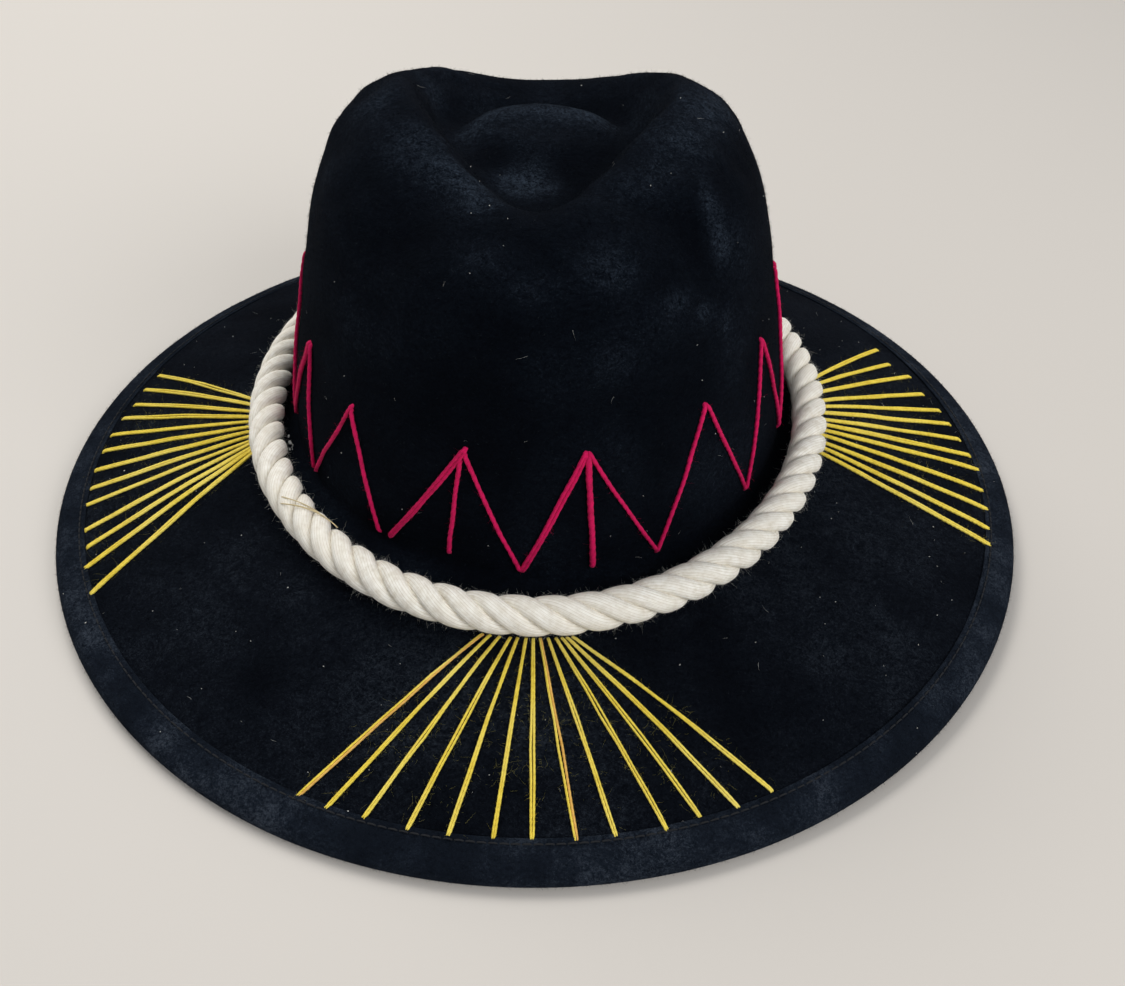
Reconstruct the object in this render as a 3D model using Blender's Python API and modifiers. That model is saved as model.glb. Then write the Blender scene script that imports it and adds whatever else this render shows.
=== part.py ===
"""Wide-brim hat in black faux suede with a rope band and yarn embroidery.

Metres, +Z up.  The hat stands on the underside of its brim edge at z = 0.
The wearer's front is -Y, the wearer's left and right are +X and -X.
"""
import math
import bmesh
import bpy
import numpy as np
from mathutils import Vector

# ------------------------------------------------------------- dimensions
MM = 0.001
GAP = 0.35                      # clearance between pieces that touch
N = 40                          # divisions round every ring

BRIM_A, BRIM_B = 171.0, 174.5   # half axes of the brim's outer edge
FOOT_A, FOOT_B, FOOT_CY = 86.5, 98.5, 9.0   # oval where crown wall meets brim
SIDE_LIFT = 3.2                 # the brim edge is this much higher at the sides
FLAT_ARC = 0.147                # cos^2 of the arc at front and back that lies flat
EDGE_TOP = 3.95                 # top of the brim layers at the edge
FOOT_TOP = 29.5                 # top of the brim layers at the crown
BRIM_POWER = 1.20               # how the brim flattens towards the crown

T_TOP, T_CORE, T_UNDER = 0.7, 1.0, 0.6      # suede, stiffener, suede
T_BIND, BIND_WIDTH = 0.6, 10.5
CORE_EDGE = 3.2                 # brim layers stop this far inside the binding's nose
WIRE_R = 0.6

T_CROWN, CROWN_FLANGE = 1.4, 0.6
T_LINING = 0.5
T_SWEAT, SWEAT_HEIGHT, SWEAT_INSET = 1.2, 32.0, 4.5

PINCHES, PINCH_DEPTH = ((-37.0, -44.0, 117.0), (40.0, -44.0, 117.0)), 6.0

ROPE_A, ROPE_B, ROPE_CY = 95.6, 111.5, 3.4  # centreline of the rope ring
ROPE_HELIX_R, STRAND_R = 3.40, 2.15
ROPE_TURNS, ROPE_STEPS = 21, 8
T_GLUE = 0.5

YARN_R = 0.85
FAN_COUNT = 13

# Crown sections: angle in degrees (-90 front, 0 side, 90 back), then control
# points (fraction of the foot oval, height over the foot) from foot to centre.
CROWN_SECTIONS = {
    -90: [(1.0, 0), (0.975, 20), (0.935, 46), (0.88, 70), (0.80, 86), (0.69, 95),
          (0.59, 98), (0.50, 94), (0.38, 87), (0.20, 88), (0.0, 94)],
    -62: [(1.0, 0), (0.975, 20), (0.93, 46), (0.87, 71), (0.78, 89), (0.64, 98),
          (0.50, 102), (0.41, 97), (0.30, 88), (0.16, 89), (0.0, 94)],
    -38: [(1.0, 0), (0.975, 20), (0.93, 46), (0.87, 72), (0.79, 91), (0.65, 102),
          (0.46, 108), (0.37, 102), (0.27, 91), (0.14, 91), (0.0, 94)],
    0: [(1.0, 0), (0.985, 16), (0.93, 40), (0.865, 66), (0.80, 86), (0.69, 102),
        (0.51, 110), (0.42, 104), (0.33, 92), (0.17, 94), (0.0, 94)],
    40: [(1.0, 0), (0.98, 20), (0.935, 42), (0.875, 66), (0.81, 83), (0.73, 95.5),
         (0.60, 101.5), (0.51, 97), (0.40, 88.5), (0.24, 95.5), (0.0, 94)],
    90: [(1.0, 0), (0.98, 20), (0.94, 42), (0.89, 61), (0.82, 77.5), (0.73, 85.5),
         (0.64, 87), (0.55, 85.5), (0.44, 83), (0.26, 95.5), (0.0, 94)],
}

# Embroidery: stitch fans on the brim as (centre angle, half spread at the brim
# edge, centre angle at the rope, half spread at the rope).
FANS = {"front": (-88.7, 24.2, -90.2, 7.0), "left": (187.5, 21.4, 189.8, 8.7),
        "right": (4.0, 21.1, -2.8, 12.0), "back": (90.0, 23.0, 90.0, 7.5)}
FAN_END, FAN_START = 12.5, 2.6      # stitch ends: inside the brim edge, outside the crown flange

# Zigzag round the crown: (angle, height over the foot) of each needle hole.
ZIGZAG = {
    "zigzag_left": [(183.5, 56), (195.5, 6), (208.5, 46), (213, 3.6), (229, 41.5), (236.6, 3.4)],
    "zigzag_front": [(239.4, 3.4), (256.5, 41.5), (268, 3.4), (281, 42.5), (296, 3.4),
                     (308, 46.5), (322, 4), (330, 52), (343, 6), (353.5, 56)],
    "zigzag_back": [(-2, 55), (9, 5), (20, 52), (33, 5), (46, 47), (60, 5), (74, 44), (87, 5),
                    (100, 44), (113, 5), (127, 47), (140, 5), (153, 52), (165, 5), (178.5, 55)],
}
UPRIGHTS = {"upright_left": (256.0, 35.0, 253.3, 5.0), "upright_right": (281.2, 35.5, 282.2, 3.6)}

# ------------------------------------------------------------- scene set-up
for old in list(bpy.data.objects):
    bpy.data.objects.remove(old, do_unlink=True)

hat = bpy.data.collections.new("hat")
bpy.context.scene.collection.children.link(hat)


def material(name, colour, rough, metal=0.0, sheen=0.0):
    mat = bpy.data.materials.new(name)
    mat.use_nodes = True
    shader = mat.node_tree.nodes["Principled BSDF"]
    shader.inputs["Base Color"].default_value = (*colour, 1.0)
    shader.inputs["Roughness"].default_value = rough
    shader.inputs["Metallic"].default_value = metal
    shader.inputs["Sheen Weight"].default_value = sheen
    return mat


def put(obj, mat):
    """Name the data after the object, give it its material, put it in the hat."""
    for coll in list(obj.users_collection):
        coll.objects.unlink(obj)
    hat.objects.link(obj)
    obj.data.name = obj.name
    obj.data.materials.clear()
    obj.data.materials.append(mat)
    return obj


# ------------------------------------------------------------- surfaces
def smooth(x):
    x = min(1.0, max(0.0, x))
    return x * x * (3 - 2 * x)


def edge_lift(deg):
    c = math.cos(math.radians(deg)) ** 2
    return SIDE_LIFT * max(0.0, (c - FLAT_ARC) / (1 - FLAT_ARC))


def brim_xy(s, deg):
    """Plan position: s = 0 at the crown's foot, 1 at the outer edge."""
    c, n = math.cos(math.radians(deg)), math.sin(math.radians(deg))
    return ((FOOT_A + (BRIM_A - FOOT_A) * s) * c,
            FOOT_CY * (1 - s) + (FOOT_B + (BRIM_B - FOOT_B) * s) * n)


def brim_height(s, deg):
    """Height of the brim's upper suede face."""
    edge = EDGE_TOP + edge_lift(deg)
    return edge + (FOOT_TOP - edge) * (1 - max(s, 0.0) ** BRIM_POWER)


def brim_point(s, deg, dz=0.0):
    x, y = brim_xy(s, deg)
    return (x, y, brim_height(s, deg) + dz)


def brim_params(x, y):
    """Inverse of brim_xy by bisection."""
    low, high = -0.5, 1.2
    for _ in range(48):
        s = (low + high) / 2
        a = FOOT_A + (BRIM_A - FOOT_A) * s
        b = FOOT_B + (BRIM_B - FOOT_B) * s
        if (x / a) ** 2 + ((y - FOOT_CY * (1 - s)) / b) ** 2 > 1:
            low = s
        else:
            high = s
    return s, math.degrees(math.atan2((y - FOOT_CY * (1 - s)) / b, x / a))


def crown_controls(deg):
    """Control points at any angle: Catmull-Rom between the named sections."""
    keys = sorted(CROWN_SECTIONS)
    full = [(k, CROWN_SECTIONS[k]) for k in keys]
    full += [(180 - k, CROWN_SECTIONS[k]) for k in keys[::-1] if -90 < k < 90]
    full.sort(key=lambda item: item[0])
    count = len(full)
    a = (deg + 90.0) % 360.0 - 90.0
    i = max(j for j in range(count) if full[j][0] <= a + 1e-9)

    def at(j):
        return full[j % count][0] + 360 * (j // count), np.array(full[j % count][1], float)

    (a0, v0), (a1, v1), (a2, v2), (a3, v3) = at(i - 1), at(i), at(i + 1), at(i + 2)
    t = (a - a1) / (a2 - a1)
    m1 = (v2 - v0) / (a2 - a0) * (a2 - a1)
    m2 = (v3 - v1) / (a3 - a1) * (a2 - a1)
    return ((2 * t ** 3 - 3 * t ** 2 + 1) * v1 + (t ** 3 - 2 * t ** 2 + t) * m1
            + (3 * t ** 2 - 2 * t ** 3) * v2 + (t ** 3 - t ** 2) * m2)


def crown_profile(deg, k):
    """(fraction, height) at control parameter k = 0 (foot) to 10 (centre)."""
    c = crown_controls(deg)
    pts = np.vstack([2 * c[0] - c[1], c, [[-c[-2][0], c[-2][1]]]])
    i = min(int(k), len(c) - 2)
    t = k - i
    p0, p1, p2, p3 = pts[i], pts[i + 1], pts[i + 2], pts[i + 3]
    return 0.5 * (2 * p1 + (p2 - p0) * t + (2 * p0 - 5 * p1 + 4 * p2 - p3) * t * t
                  + (3 * p1 - p0 - 3 * p2 + p3) * t ** 3)


CROWN_FOOT = FOOT_TOP + GAP + T_CROWN


def pinch(x, y, z):
    """Move of the two finger hollows either side of the crown's front."""
    move = Vector((0.0, 0.0, 0.0))
    for px, py, pz in PINCHES:
        r2 = ((x - px) / 17.0) ** 2 + ((y - py) / 15.0) ** 2 + ((z - pz) / 16.0) ** 2
        move += PINCH_DEPTH * math.exp(-r2) * Vector((-math.copysign(0.45, px), 0.65, -0.6))
    return move


def crown_point(deg, k, inset=0.0, drop=0.0):
    f, h = crown_profile(deg, k)
    c, n = math.cos(math.radians(deg)), math.sin(math.radians(deg))
    dx, dy, dz = pinch(FOOT_A * f * c, FOOT_CY + FOOT_B * f * n, CROWN_FOOT + h)
    return ((FOOT_A * f - inset * min(1, f * 1.6)) * c + dx,
            FOOT_CY + (FOOT_B * f - inset * min(1, f * 1.6)) * n + dy,
            CROWN_FOOT + h - drop + dz)


def crown_at_height(deg, h, out=0.0):
    """Point on the outer face of the crown wall at height h, lifted off by out."""
    low, high = 0.0, 5.0
    for _ in range(40):
        k = (low + high) / 2
        if crown_profile(deg, k)[1] < h:
            low = k
        else:
            high = k
    return crown_point(deg, k, inset=-out)


# ------------------------------------------------------------- mesh helpers
def grid_object(name, rows, pole=None, thickness=0.0):
    """Closed rings of points joined into a sheet, thickened inward."""
    bm = bmesh.new()
    rings = [[bm.verts.new([c * MM for c in p]) for p in row] for row in rows]
    for low, high in zip(rings, rings[1:]):
        for j in range(len(low)):
            k = (j + 1) % len(low)
            bm.faces.new((low[j], low[k], high[k], high[j]))
    if pole is not None:
        top = bm.verts.new([c * MM for c in pole])
        last = rings[-1]
        for j in range(len(last)):
            bm.faces.new((last[j], last[(j + 1) % len(last)], top))
    mesh = bpy.data.meshes.new(name)
    bm.to_mesh(mesh)
    bm.free()
    mesh.shade_smooth()
    obj = bpy.data.objects.new(name, mesh)
    bpy.context.scene.collection.objects.link(obj)
    if thickness:
        solid = obj.modifiers.new("thickness", "SOLIDIFY")
        solid.thickness = thickness * MM
        solid.offset = -1.0
        solid.use_even_offset = False
    return obj


def tube(name, points, radius, cyclic=False, resolution=0):
    """A round thread, wire or strand along a run of points."""
    curve = bpy.data.curves.new(name, "CURVE")
    curve.dimensions = "3D"
    curve.bevel_depth = radius * MM
    curve.bevel_resolution = resolution
    curve.use_fill_caps = True
    curve.twist_mode = "Z_UP" if cyclic else "MINIMUM"
    spline = curve.splines.new("POLY")
    spline.points.add(len(points) - 1)
    for p, q in zip(spline.points, points):
        p.co = (q[0] * MM, q[1] * MM, q[2] * MM, 1.0)
    spline.use_cyclic_u = cyclic
    obj = bpy.data.objects.new(name, curve)
    bpy.context.scene.collection.objects.link(obj)
    return obj


ANGLES = [360.0 * j / N - 90.0 for j in range(N)]

# ------------------------------------------------------------- materials
suede = material("black_suede", (0.012, 0.013, 0.018), 0.95, sheen=0.5)
binding_cloth = material("binding_suede", (0.016, 0.018, 0.026), 0.9, sheen=0.4)
buckram = material("buckram", (0.55, 0.5, 0.4), 0.9)
lining_cloth = material("lining", (0.02, 0.02, 0.02), 0.6)
sweat_cloth = material("sweatband", (0.03, 0.028, 0.026), 0.7)
steel = material("edge_wire_steel", (0.5, 0.5, 0.52), 0.35, metal=1.0)
black_thread = material("black_thread", (0.03, 0.03, 0.035), 0.8)
cotton = material("cotton_rope", (0.83, 0.79, 0.70), 0.9)
tack = material("tack_thread", (0.72, 0.58, 0.30), 0.7)
glue = material("hot_glue", (0.75, 0.75, 0.72), 0.35)
yellow = material("yellow_yarn", (0.75, 0.50, 0.035), 0.85)
magenta = material("magenta_yarn", (0.55, 0.004, 0.08), 0.8)

# ------------------------------------------------------------- brim
S_EDGE = 1 - CORE_EDGE / 85.0
ROWS = (-0.02, 0.22, 0.60, S_EDGE)


def brim_layer(name, dz, thickness, mat):
    rows = [[brim_point(s, a, dz) for a in ANGLES] for s in reversed(ROWS)]
    return put(grid_object(name, rows, thickness=thickness), mat)


brim_layer("brim_top_cover", 0.0, T_TOP, suede)
brim_layer("brim_stiffener", -(T_TOP + GAP) * 1.06, T_CORE, buckram)
brim_layer("brim_under_cover", -(T_TOP + T_CORE + 2 * GAP) * 1.06, T_UNDER, suede)
UNDER = (T_TOP + T_CORE + T_UNDER + 2 * GAP) * 1.08


def edge_point(inward, deg, z):
    """Point at a distance inside the brim's outline, at height z over the lift."""
    x, y = BRIM_A * math.cos(math.radians(deg)), BRIM_B * math.sin(math.radians(deg))
    r = math.hypot(x, y)
    f = (r - inward) / r
    return (x * f, y * f, z + edge_lift(deg))


def over_brim(inward, deg, dz):
    p = edge_point(inward, deg, 0)
    s, t = brim_params(p[0], p[1])
    return (p[0], p[1], brim_height(s, t) + dz)


binding_rows = []
binding_rows.append([over_brim(BIND_WIDTH, a, -UNDER - GAP - T_BIND) for a in ANGLES])
binding_rows.append([edge_point(5.6, a, 0.0) for a in ANGLES])
binding_rows.append([edge_point(1.9, a, 0.0) for a in ANGLES])
binding_rows.append([edge_point(0.2, a, 1.5) for a in ANGLES])
binding_rows.append([edge_point(0.2, a, 3.6) for a in ANGLES])
binding_rows.append([over_brim(2.4, a, GAP + T_BIND) for a in ANGLES])
binding_rows.append([over_brim(BIND_WIDTH, a, GAP + T_BIND) for a in ANGLES])
put(grid_object("brim_binding", binding_rows, thickness=T_BIND), binding_cloth)

wire = [edge_point(CORE_EDGE - 1.35, a, 2.45) for a in ANGLES]
put(tube("brim_edge_wire", wire, WIRE_R - 0.1, cyclic=True), steel)

top_stitch = [over_brim(BIND_WIDTH - 1.6, a, GAP + T_BIND + GAP + 0.3) for a in ANGLES]
put(tube("binding_needle_thread", top_stitch, 0.25, cyclic=True), black_thread)
fold = 1.6 / (BIND_WIDTH - 5.6)
under_stitch = [[p + (q - p) * fold - (GAP + 0.35 if i == 2 else 0.0) for i, (p, q) in enumerate(zip(v, w))]
                for v, w in zip(binding_rows[0], binding_rows[1])]
put(tube("binding_bobbin_thread", under_stitch, 0.25, cyclic=True), black_thread)

# ------------------------------------------------------------- crown
def flange_edge(deg, out=0.0):
    """Plan position of the crown flange's outer edge, hidden below the rope."""
    return ((ROPE_A + CROWN_FLANGE + out) * math.cos(math.radians(deg)),
            ROPE_CY + (ROPE_B + CROWN_FLANGE + out) * math.sin(math.radians(deg)))


crown_rows = []
for extra in (1.0, 0.45):
    row = []
    for a in ANGLES:
        rx, ry = flange_edge(a)
        fx, fy = brim_xy(0.0, a)
        x, y = fx + (rx - fx) * extra, fy + (ry - fy) * extra
        s, t = brim_params(x, y)
        row.append((x, y, brim_height(s, t) + GAP + T_CROWN))
    crown_rows.append(row)
for k in (0.0, 0.5, 1.2, 2.2, 3.1, 4.0, 4.7, 5.3, 5.8, 6.3, 6.9, 7.6, 8.4, 9.2):
    crown_rows.append([crown_point(a, k) for a in ANGLES])
put(grid_object("crown_shell", crown_rows, pole=crown_point(0, 10), thickness=T_CROWN), suede)

lining_rows = [[crown_point(a, k, inset=2.7, drop=d) for a in ANGLES]
               for k, d in ((0.15, 0.0), (1.2, 0.0), (2.2, 0.0), (4.0, 2.0), (5.2, 4.0), (6.2, 6.5),
                            (7.4, 6.5), (8.6, 6.0), (9.4, 6.0))]
centre = crown_point(0, 10, drop=6.0)
put(grid_object("crown_lining", lining_rows, pole=centre, thickness=T_LINING), lining_cloth)


def sweat_point(deg, h, out=0.0):
    x, y, z = crown_at_height(deg, max(0.0, h + FOOT_TOP - CROWN_FOOT), out - SWEAT_INSET)
    return (x, y, FOOT_TOP + h)


sweat_rows = [[sweat_point(a, h) for a in ANGLES] for h in (-1.5, 3.0, 18.0, SWEAT_HEIGHT)]
put(grid_object("sweatband", sweat_rows, thickness=T_SWEAT), sweat_cloth)
sweat_stitch = [sweat_point(a, -1.0, 0.75) for a in ANGLES]
put(tube("sweatband_thread", sweat_stitch, 0.3, cyclic=True), black_thread)

# ------------------------------------------------------------- rope band
ROPE_RISE = GAP + T_GLUE + GAP + ROPE_HELIX_R + STRAND_R


def rope_centre(u):
    """Centreline of the rope for u in turns round the hat, lying on the flange."""
    a = 2 * math.pi * u
    x, y = ROPE_A * math.cos(a), ROPE_CY + ROPE_B * math.sin(a)
    s, t = brim_params(x, y)
    return Vector((x, y, brim_height(s, t) + GAP + T_CROWN + ROPE_RISE))


def rope_frame(u):
    p = rope_centre(u)
    d = (rope_centre(u + 1e-4) - rope_centre(u - 1e-4)).normalized()
    out = d.cross(Vector((0, 0, 1))).normalized()
    return p, out, out.cross(d).normalized()


def loop_fraction(count=720):
    """Turn fractions that divide the centreline into equal lengths."""
    pts = [rope_centre(i / count) for i in range(count + 1)]
    acc = [0.0]
    for p, q in zip(pts, pts[1:]):
        acc.append(acc[-1] + (q - p).length)
    total = acc[-1]
    return lambda f: float(np.interp(f * total, acc, [i / count for i in range(count + 1)]))


along = loop_fraction()
for strand in range(3):
    pts = []
    steps = ROPE_TURNS * ROPE_STEPS
    for i in range(steps):
        p, out, up = rope_frame(along(i / steps))
        w = 2 * math.pi * (ROPE_TURNS * i / steps + strand / 3.0)
        pts.append(p + out * ROPE_HELIX_R * math.cos(w) - up * ROPE_HELIX_R * math.sin(w))
    put(tube(f"rope_strand_{strand + 1}", pts, STRAND_R, cyclic=True), cotton)

glue_rows = []
for side in (-0.3, 3.0):
    row = []
    for j in range(N):
        p, out, up = rope_frame(along(j / N))
        q = p + out * (-side)
        s, t = brim_params(q.x, q.y)
        row.append((q.x, q.y, brim_height(s, t) + GAP + T_CROWN + GAP + T_GLUE))
    glue_rows.append(row)
put(grid_object("rope_glue_bead", glue_rows, thickness=T_GLUE), glue)

# A short tack thread passes over the rope at the wearer's right front.
tack_pts = []
p, out, up = rope_frame(along(0.583))
q, out2, up2 = rope_frame(along(0.611))
for i in range(9):
    f = i / 8.0
    w = math.pi * (0.28 + 0.5 * f)
    c = p.lerp(q, f)
    tack_pts.append(c + out * (ROPE_HELIX_R + STRAND_R + 0.6) * math.cos(w)
                    + up * (ROPE_HELIX_R + STRAND_R + 0.6) * math.sin(w))
put(tube("rope_tack_thread", tack_pts, 0.25), tack)


# ------------------------------------------------------------- stitch fans
def fan(name, centre_deg, spread, inner_deg, inner_spread):
    """Thirteen flat yarn stitches gathered into one bundle below the rope."""
    bm = bmesh.new()
    lift = GAP + 1.25
    steps = 4

    def station(i, f, side):
        k = 2.0 * i / (FAN_COUNT - 1) - 1.0
        a = Vector(flange_edge(inner_deg + inner_spread * k, FAN_START))
        b = Vector(edge_point(FAN_END, centre_deg + spread * k, 0)[:2])
        q = a.lerp(b, f)
        d = (b - a).normalized()
        q += Vector((-d.y, d.x)) * side * YARN_R
        s, t = brim_params(q.x, q.y)
        return (q.x * MM, q.y * MM, (brim_height(s, t) + lift) * MM)

    hub_in = []
    hub_out = []
    for i in range(FAN_COUNT):
        for side in (-1, 1):
            hub_out.append(bm.verts.new(station(i, 0.045, side)))
            hub_in.append(bm.verts.new(station(i, 0.0, side)))
    for j in range(len(hub_in) - 1):
        bm.faces.new((hub_in[j], hub_out[j], hub_out[j + 1], hub_in[j + 1]))
    for i in range(FAN_COUNT):
        left, right = hub_out[2 * i], hub_out[2 * i + 1]
        for n in range(1, steps + 1):
            f = 0.045 + 0.955 * n / steps
            nl, nr = bm.verts.new(station(i, f, -1)), bm.verts.new(station(i, f, 1))
            bm.faces.new((left, nl, nr, right))
            left, right = nl, nr
    bmesh.ops.recalc_face_normals(bm, faces=bm.faces)
    bm.faces.ensure_lookup_table()
    if bm.faces[0].normal.z < 0:
        bmesh.ops.reverse_faces(bm, faces=bm.faces)
    mesh = bpy.data.meshes.new(name)
    bm.to_mesh(mesh)
    bm.free()
    obj = bpy.data.objects.new(name, mesh)
    bpy.context.scene.collection.objects.link(obj)
    solid = obj.modifiers.new("thickness", "SOLIDIFY")
    solid.thickness = 1.2 * MM
    solid.offset = -1.0
    return put(obj, yellow)


for side_name, values in FANS.items():
    fan(f"fan_yarn_{side_name}", *values)


# ------------------------------------------------------------- crown zigzag
def yarn_run(name, holes, radius):
    pts = []
    for (a0, h0), (a1, h1) in zip(holes, holes[1:]):
        steps = max(3, int(abs(a1 - a0) / 4.0) + 2)
        for i in range(steps):
            f = i / steps
            pts.append(crown_at_height(a0 + (a1 - a0) * f, h0 + (h1 - h0) * f, radius + 0.75))
    pts.append(crown_at_height(*holes[-1], radius + 0.75))
    return put(tube(name, pts, radius), magenta)


for name, holes in ZIGZAG.items():
    yarn_run(name, holes, 0.8)
for name, (a0, h0, a1, h1) in UPRIGHTS.items():
    yarn_run(name, [(a0, h0), (a1, h1)], 0.8)
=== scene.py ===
import math
import bpy
import numpy as np
from mathutils import Matrix, Vector


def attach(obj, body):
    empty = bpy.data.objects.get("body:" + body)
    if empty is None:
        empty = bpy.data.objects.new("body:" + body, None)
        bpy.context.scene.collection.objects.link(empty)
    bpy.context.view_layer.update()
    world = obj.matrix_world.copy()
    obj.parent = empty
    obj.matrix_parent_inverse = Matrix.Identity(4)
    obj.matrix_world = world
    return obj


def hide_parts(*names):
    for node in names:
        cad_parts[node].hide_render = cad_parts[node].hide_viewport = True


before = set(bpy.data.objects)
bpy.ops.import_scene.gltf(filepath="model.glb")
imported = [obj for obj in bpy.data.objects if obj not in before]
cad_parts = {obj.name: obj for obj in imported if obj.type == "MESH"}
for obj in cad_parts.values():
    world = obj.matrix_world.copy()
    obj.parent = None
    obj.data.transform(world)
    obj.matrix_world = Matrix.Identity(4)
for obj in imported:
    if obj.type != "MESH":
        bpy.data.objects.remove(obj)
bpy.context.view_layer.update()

MM = 0.001
RNG = np.random.default_rng(7)

# ===================================================================== geometry
# GEO-BEGIN  (millimetres; the same dimensions as the CAD part)
GAP = 0.35
BRIM_A, BRIM_B = 171.0, 174.5
FOOT_A, FOOT_B, FOOT_CY = 86.5, 98.5, 9.0
SIDE_LIFT, FLAT_ARC = 3.2, 0.147
EDGE_TOP, FOOT_TOP, BRIM_POWER = 3.95, 29.5, 1.20
T_TOP, T_CORE, T_UNDER = 0.7, 1.0, 0.6
T_BIND, BIND_WIDTH = 0.6, 10.5
T_CROWN, CROWN_FLANGE = 1.4, 0.6
ROPE_A, ROPE_B, ROPE_CY = 95.6, 111.5, 3.4
ROPE_HELIX_R, STRAND_R, ROPE_TURNS = 3.40, 2.66, 21
CROWN_FOOT = FOOT_TOP + GAP + T_CROWN
UNDER = (T_TOP + T_CORE + T_UNDER + 2 * GAP) * 1.08

CROWN_SECTIONS = {
    -90: [(1.0, 0), (0.975, 20), (0.935, 46), (0.88, 70), (0.80, 86), (0.69, 95),
          (0.59, 98), (0.50, 94), (0.38, 87), (0.20, 88), (0.0, 94)],
    -62: [(1.0, 0), (0.975, 20), (0.93, 46), (0.87, 71), (0.78, 89), (0.64, 98),
          (0.50, 102), (0.41, 97), (0.30, 88), (0.16, 89), (0.0, 94)],
    -38: [(1.0, 0), (0.975, 20), (0.93, 46), (0.87, 72), (0.79, 91), (0.65, 102),
          (0.46, 108), (0.37, 102), (0.27, 91), (0.14, 91), (0.0, 94)],
    0: [(1.0, 0), (0.985, 16), (0.93, 40), (0.865, 66), (0.80, 86), (0.69, 102),
        (0.51, 110), (0.42, 104), (0.33, 92), (0.17, 94), (0.0, 94)],
    40: [(1.0, 0), (0.98, 20), (0.935, 42), (0.875, 66), (0.81, 83), (0.73, 95.5),
         (0.60, 101.5), (0.51, 97), (0.40, 88.5), (0.24, 95.5), (0.0, 94)],
    90: [(1.0, 0), (0.98, 20), (0.94, 42), (0.89, 61), (0.82, 77.5), (0.73, 85.5),
         (0.64, 87), (0.55, 85.5), (0.44, 83), (0.26, 95.5), (0.0, 94)],
}


def edge_lift(deg):
    c = np.cos(np.radians(deg)) ** 2
    return SIDE_LIFT * np.maximum(0.0, (c - FLAT_ARC) / (1 - FLAT_ARC))


def brim_xy(s, deg):
    c, n = np.cos(np.radians(deg)), np.sin(np.radians(deg))
    return ((FOOT_A + (BRIM_A - FOOT_A) * s) * c,
            FOOT_CY * (1 - s) + (FOOT_B + (BRIM_B - FOOT_B) * s) * n)


def brim_height(s, deg):
    edge = EDGE_TOP + edge_lift(deg)
    return edge + (FOOT_TOP - edge) * (1 - np.maximum(s, 0.0) ** BRIM_POWER)


def brim_params(x, y):
    x, y = np.asarray(x, float), np.asarray(y, float)
    low, high = np.full(x.shape, -0.5), np.full(x.shape, 1.25)
    for _ in range(44):
        s = (low + high) / 2
        a = FOOT_A + (BRIM_A - FOOT_A) * s
        b = FOOT_B + (BRIM_B - FOOT_B) * s
        out = (x / a) ** 2 + ((y - FOOT_CY * (1 - s)) / b) ** 2 > 1
        low, high = np.where(out, s, low), np.where(out, high, s)
    return s, np.degrees(np.arctan2((y - FOOT_CY * (1 - s)) / b, x / a))


def brim_z(x, y):
    s, t = brim_params(x, y)
    return brim_height(s, t)


def crown_controls(deg):
    keys = sorted(CROWN_SECTIONS)
    full = [(k, CROWN_SECTIONS[k]) for k in keys]
    full += [(180 - k, CROWN_SECTIONS[k]) for k in keys[::-1] if -90 < k < 90]
    full.sort(key=lambda item: item[0])
    count = len(full)
    a = (deg + 90.0) % 360.0 - 90.0
    i = max(j for j in range(count) if full[j][0] <= a + 1e-9)

    def at(j):
        return full[j % count][0] + 360 * (j // count), np.array(full[j % count][1], float)

    (a0, v0), (a1, v1), (a2, v2), (a3, v3) = at(i - 1), at(i), at(i + 1), at(i + 2)
    t = (a - a1) / (a2 - a1)
    m1 = (v2 - v0) / (a2 - a0) * (a2 - a1)
    m2 = (v3 - v1) / (a3 - a1) * (a2 - a1)
    return ((2 * t ** 3 - 3 * t ** 2 + 1) * v1 + (t ** 3 - 2 * t ** 2 + t) * m1
            + (3 * t ** 2 - 2 * t ** 3) * v2 + (t ** 3 - t ** 2) * m2)


def crown_profile(deg, ks):
    """(fraction, height) pairs for an array of control parameters 0..10."""
    c = crown_controls(deg)
    pts = np.vstack([2 * c[0] - c[1], c, [[-c[-2][0], c[-2][1]]]])
    ks = np.asarray(ks, float)
    i = np.minimum(ks.astype(int), len(c) - 2)
    t = (ks - i)[:, None]
    p0, p1, p2, p3 = pts[i], pts[i + 1], pts[i + 2], pts[i + 3]
    return 0.5 * (2 * p1 + (p2 - p0) * t + (2 * p0 - 5 * p1 + 4 * p2 - p3) * t * t
                  + (3 * p1 - p0 - 3 * p2 + p3) * t ** 3)


def bump3(p, centre, radii, amount):
    q = (p - np.array(centre)) / np.array(radii)
    return amount * np.exp(-(q ** 2).sum(-1))


def crown_extra(p):
    """Hand-shaped dents of the felt, as (x, y, z) moves in mm."""
    move = np.zeros_like(p)
    # pinch hollows either side of the front crease
    for cx in (-37, 40):
        d = bump3(p, (cx, -44, 117), (17, 15, 16), 1.0)
        n = np.array([-np.sign(cx) * 0.45, 0.65, -0.6])
        move += d[..., None] * n * 6.0
    return move


def crown_grid(degs, ks, extra=True):
    """(len(ks), len(degs), 3) points on the crown's outer face."""
    out = np.zeros((len(ks), len(degs), 3))
    for j, a in enumerate(degs):
        fh = crown_profile(a, ks)
        c, n = math.cos(math.radians(a)), math.sin(math.radians(a))
        out[:, j, 0] = FOOT_A * fh[:, 0] * c
        out[:, j, 1] = FOOT_CY + FOOT_B * fh[:, 0] * n
        out[:, j, 2] = CROWN_FOOT + fh[:, 1]
    if extra:
        out += crown_extra(out)
    return out


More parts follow.
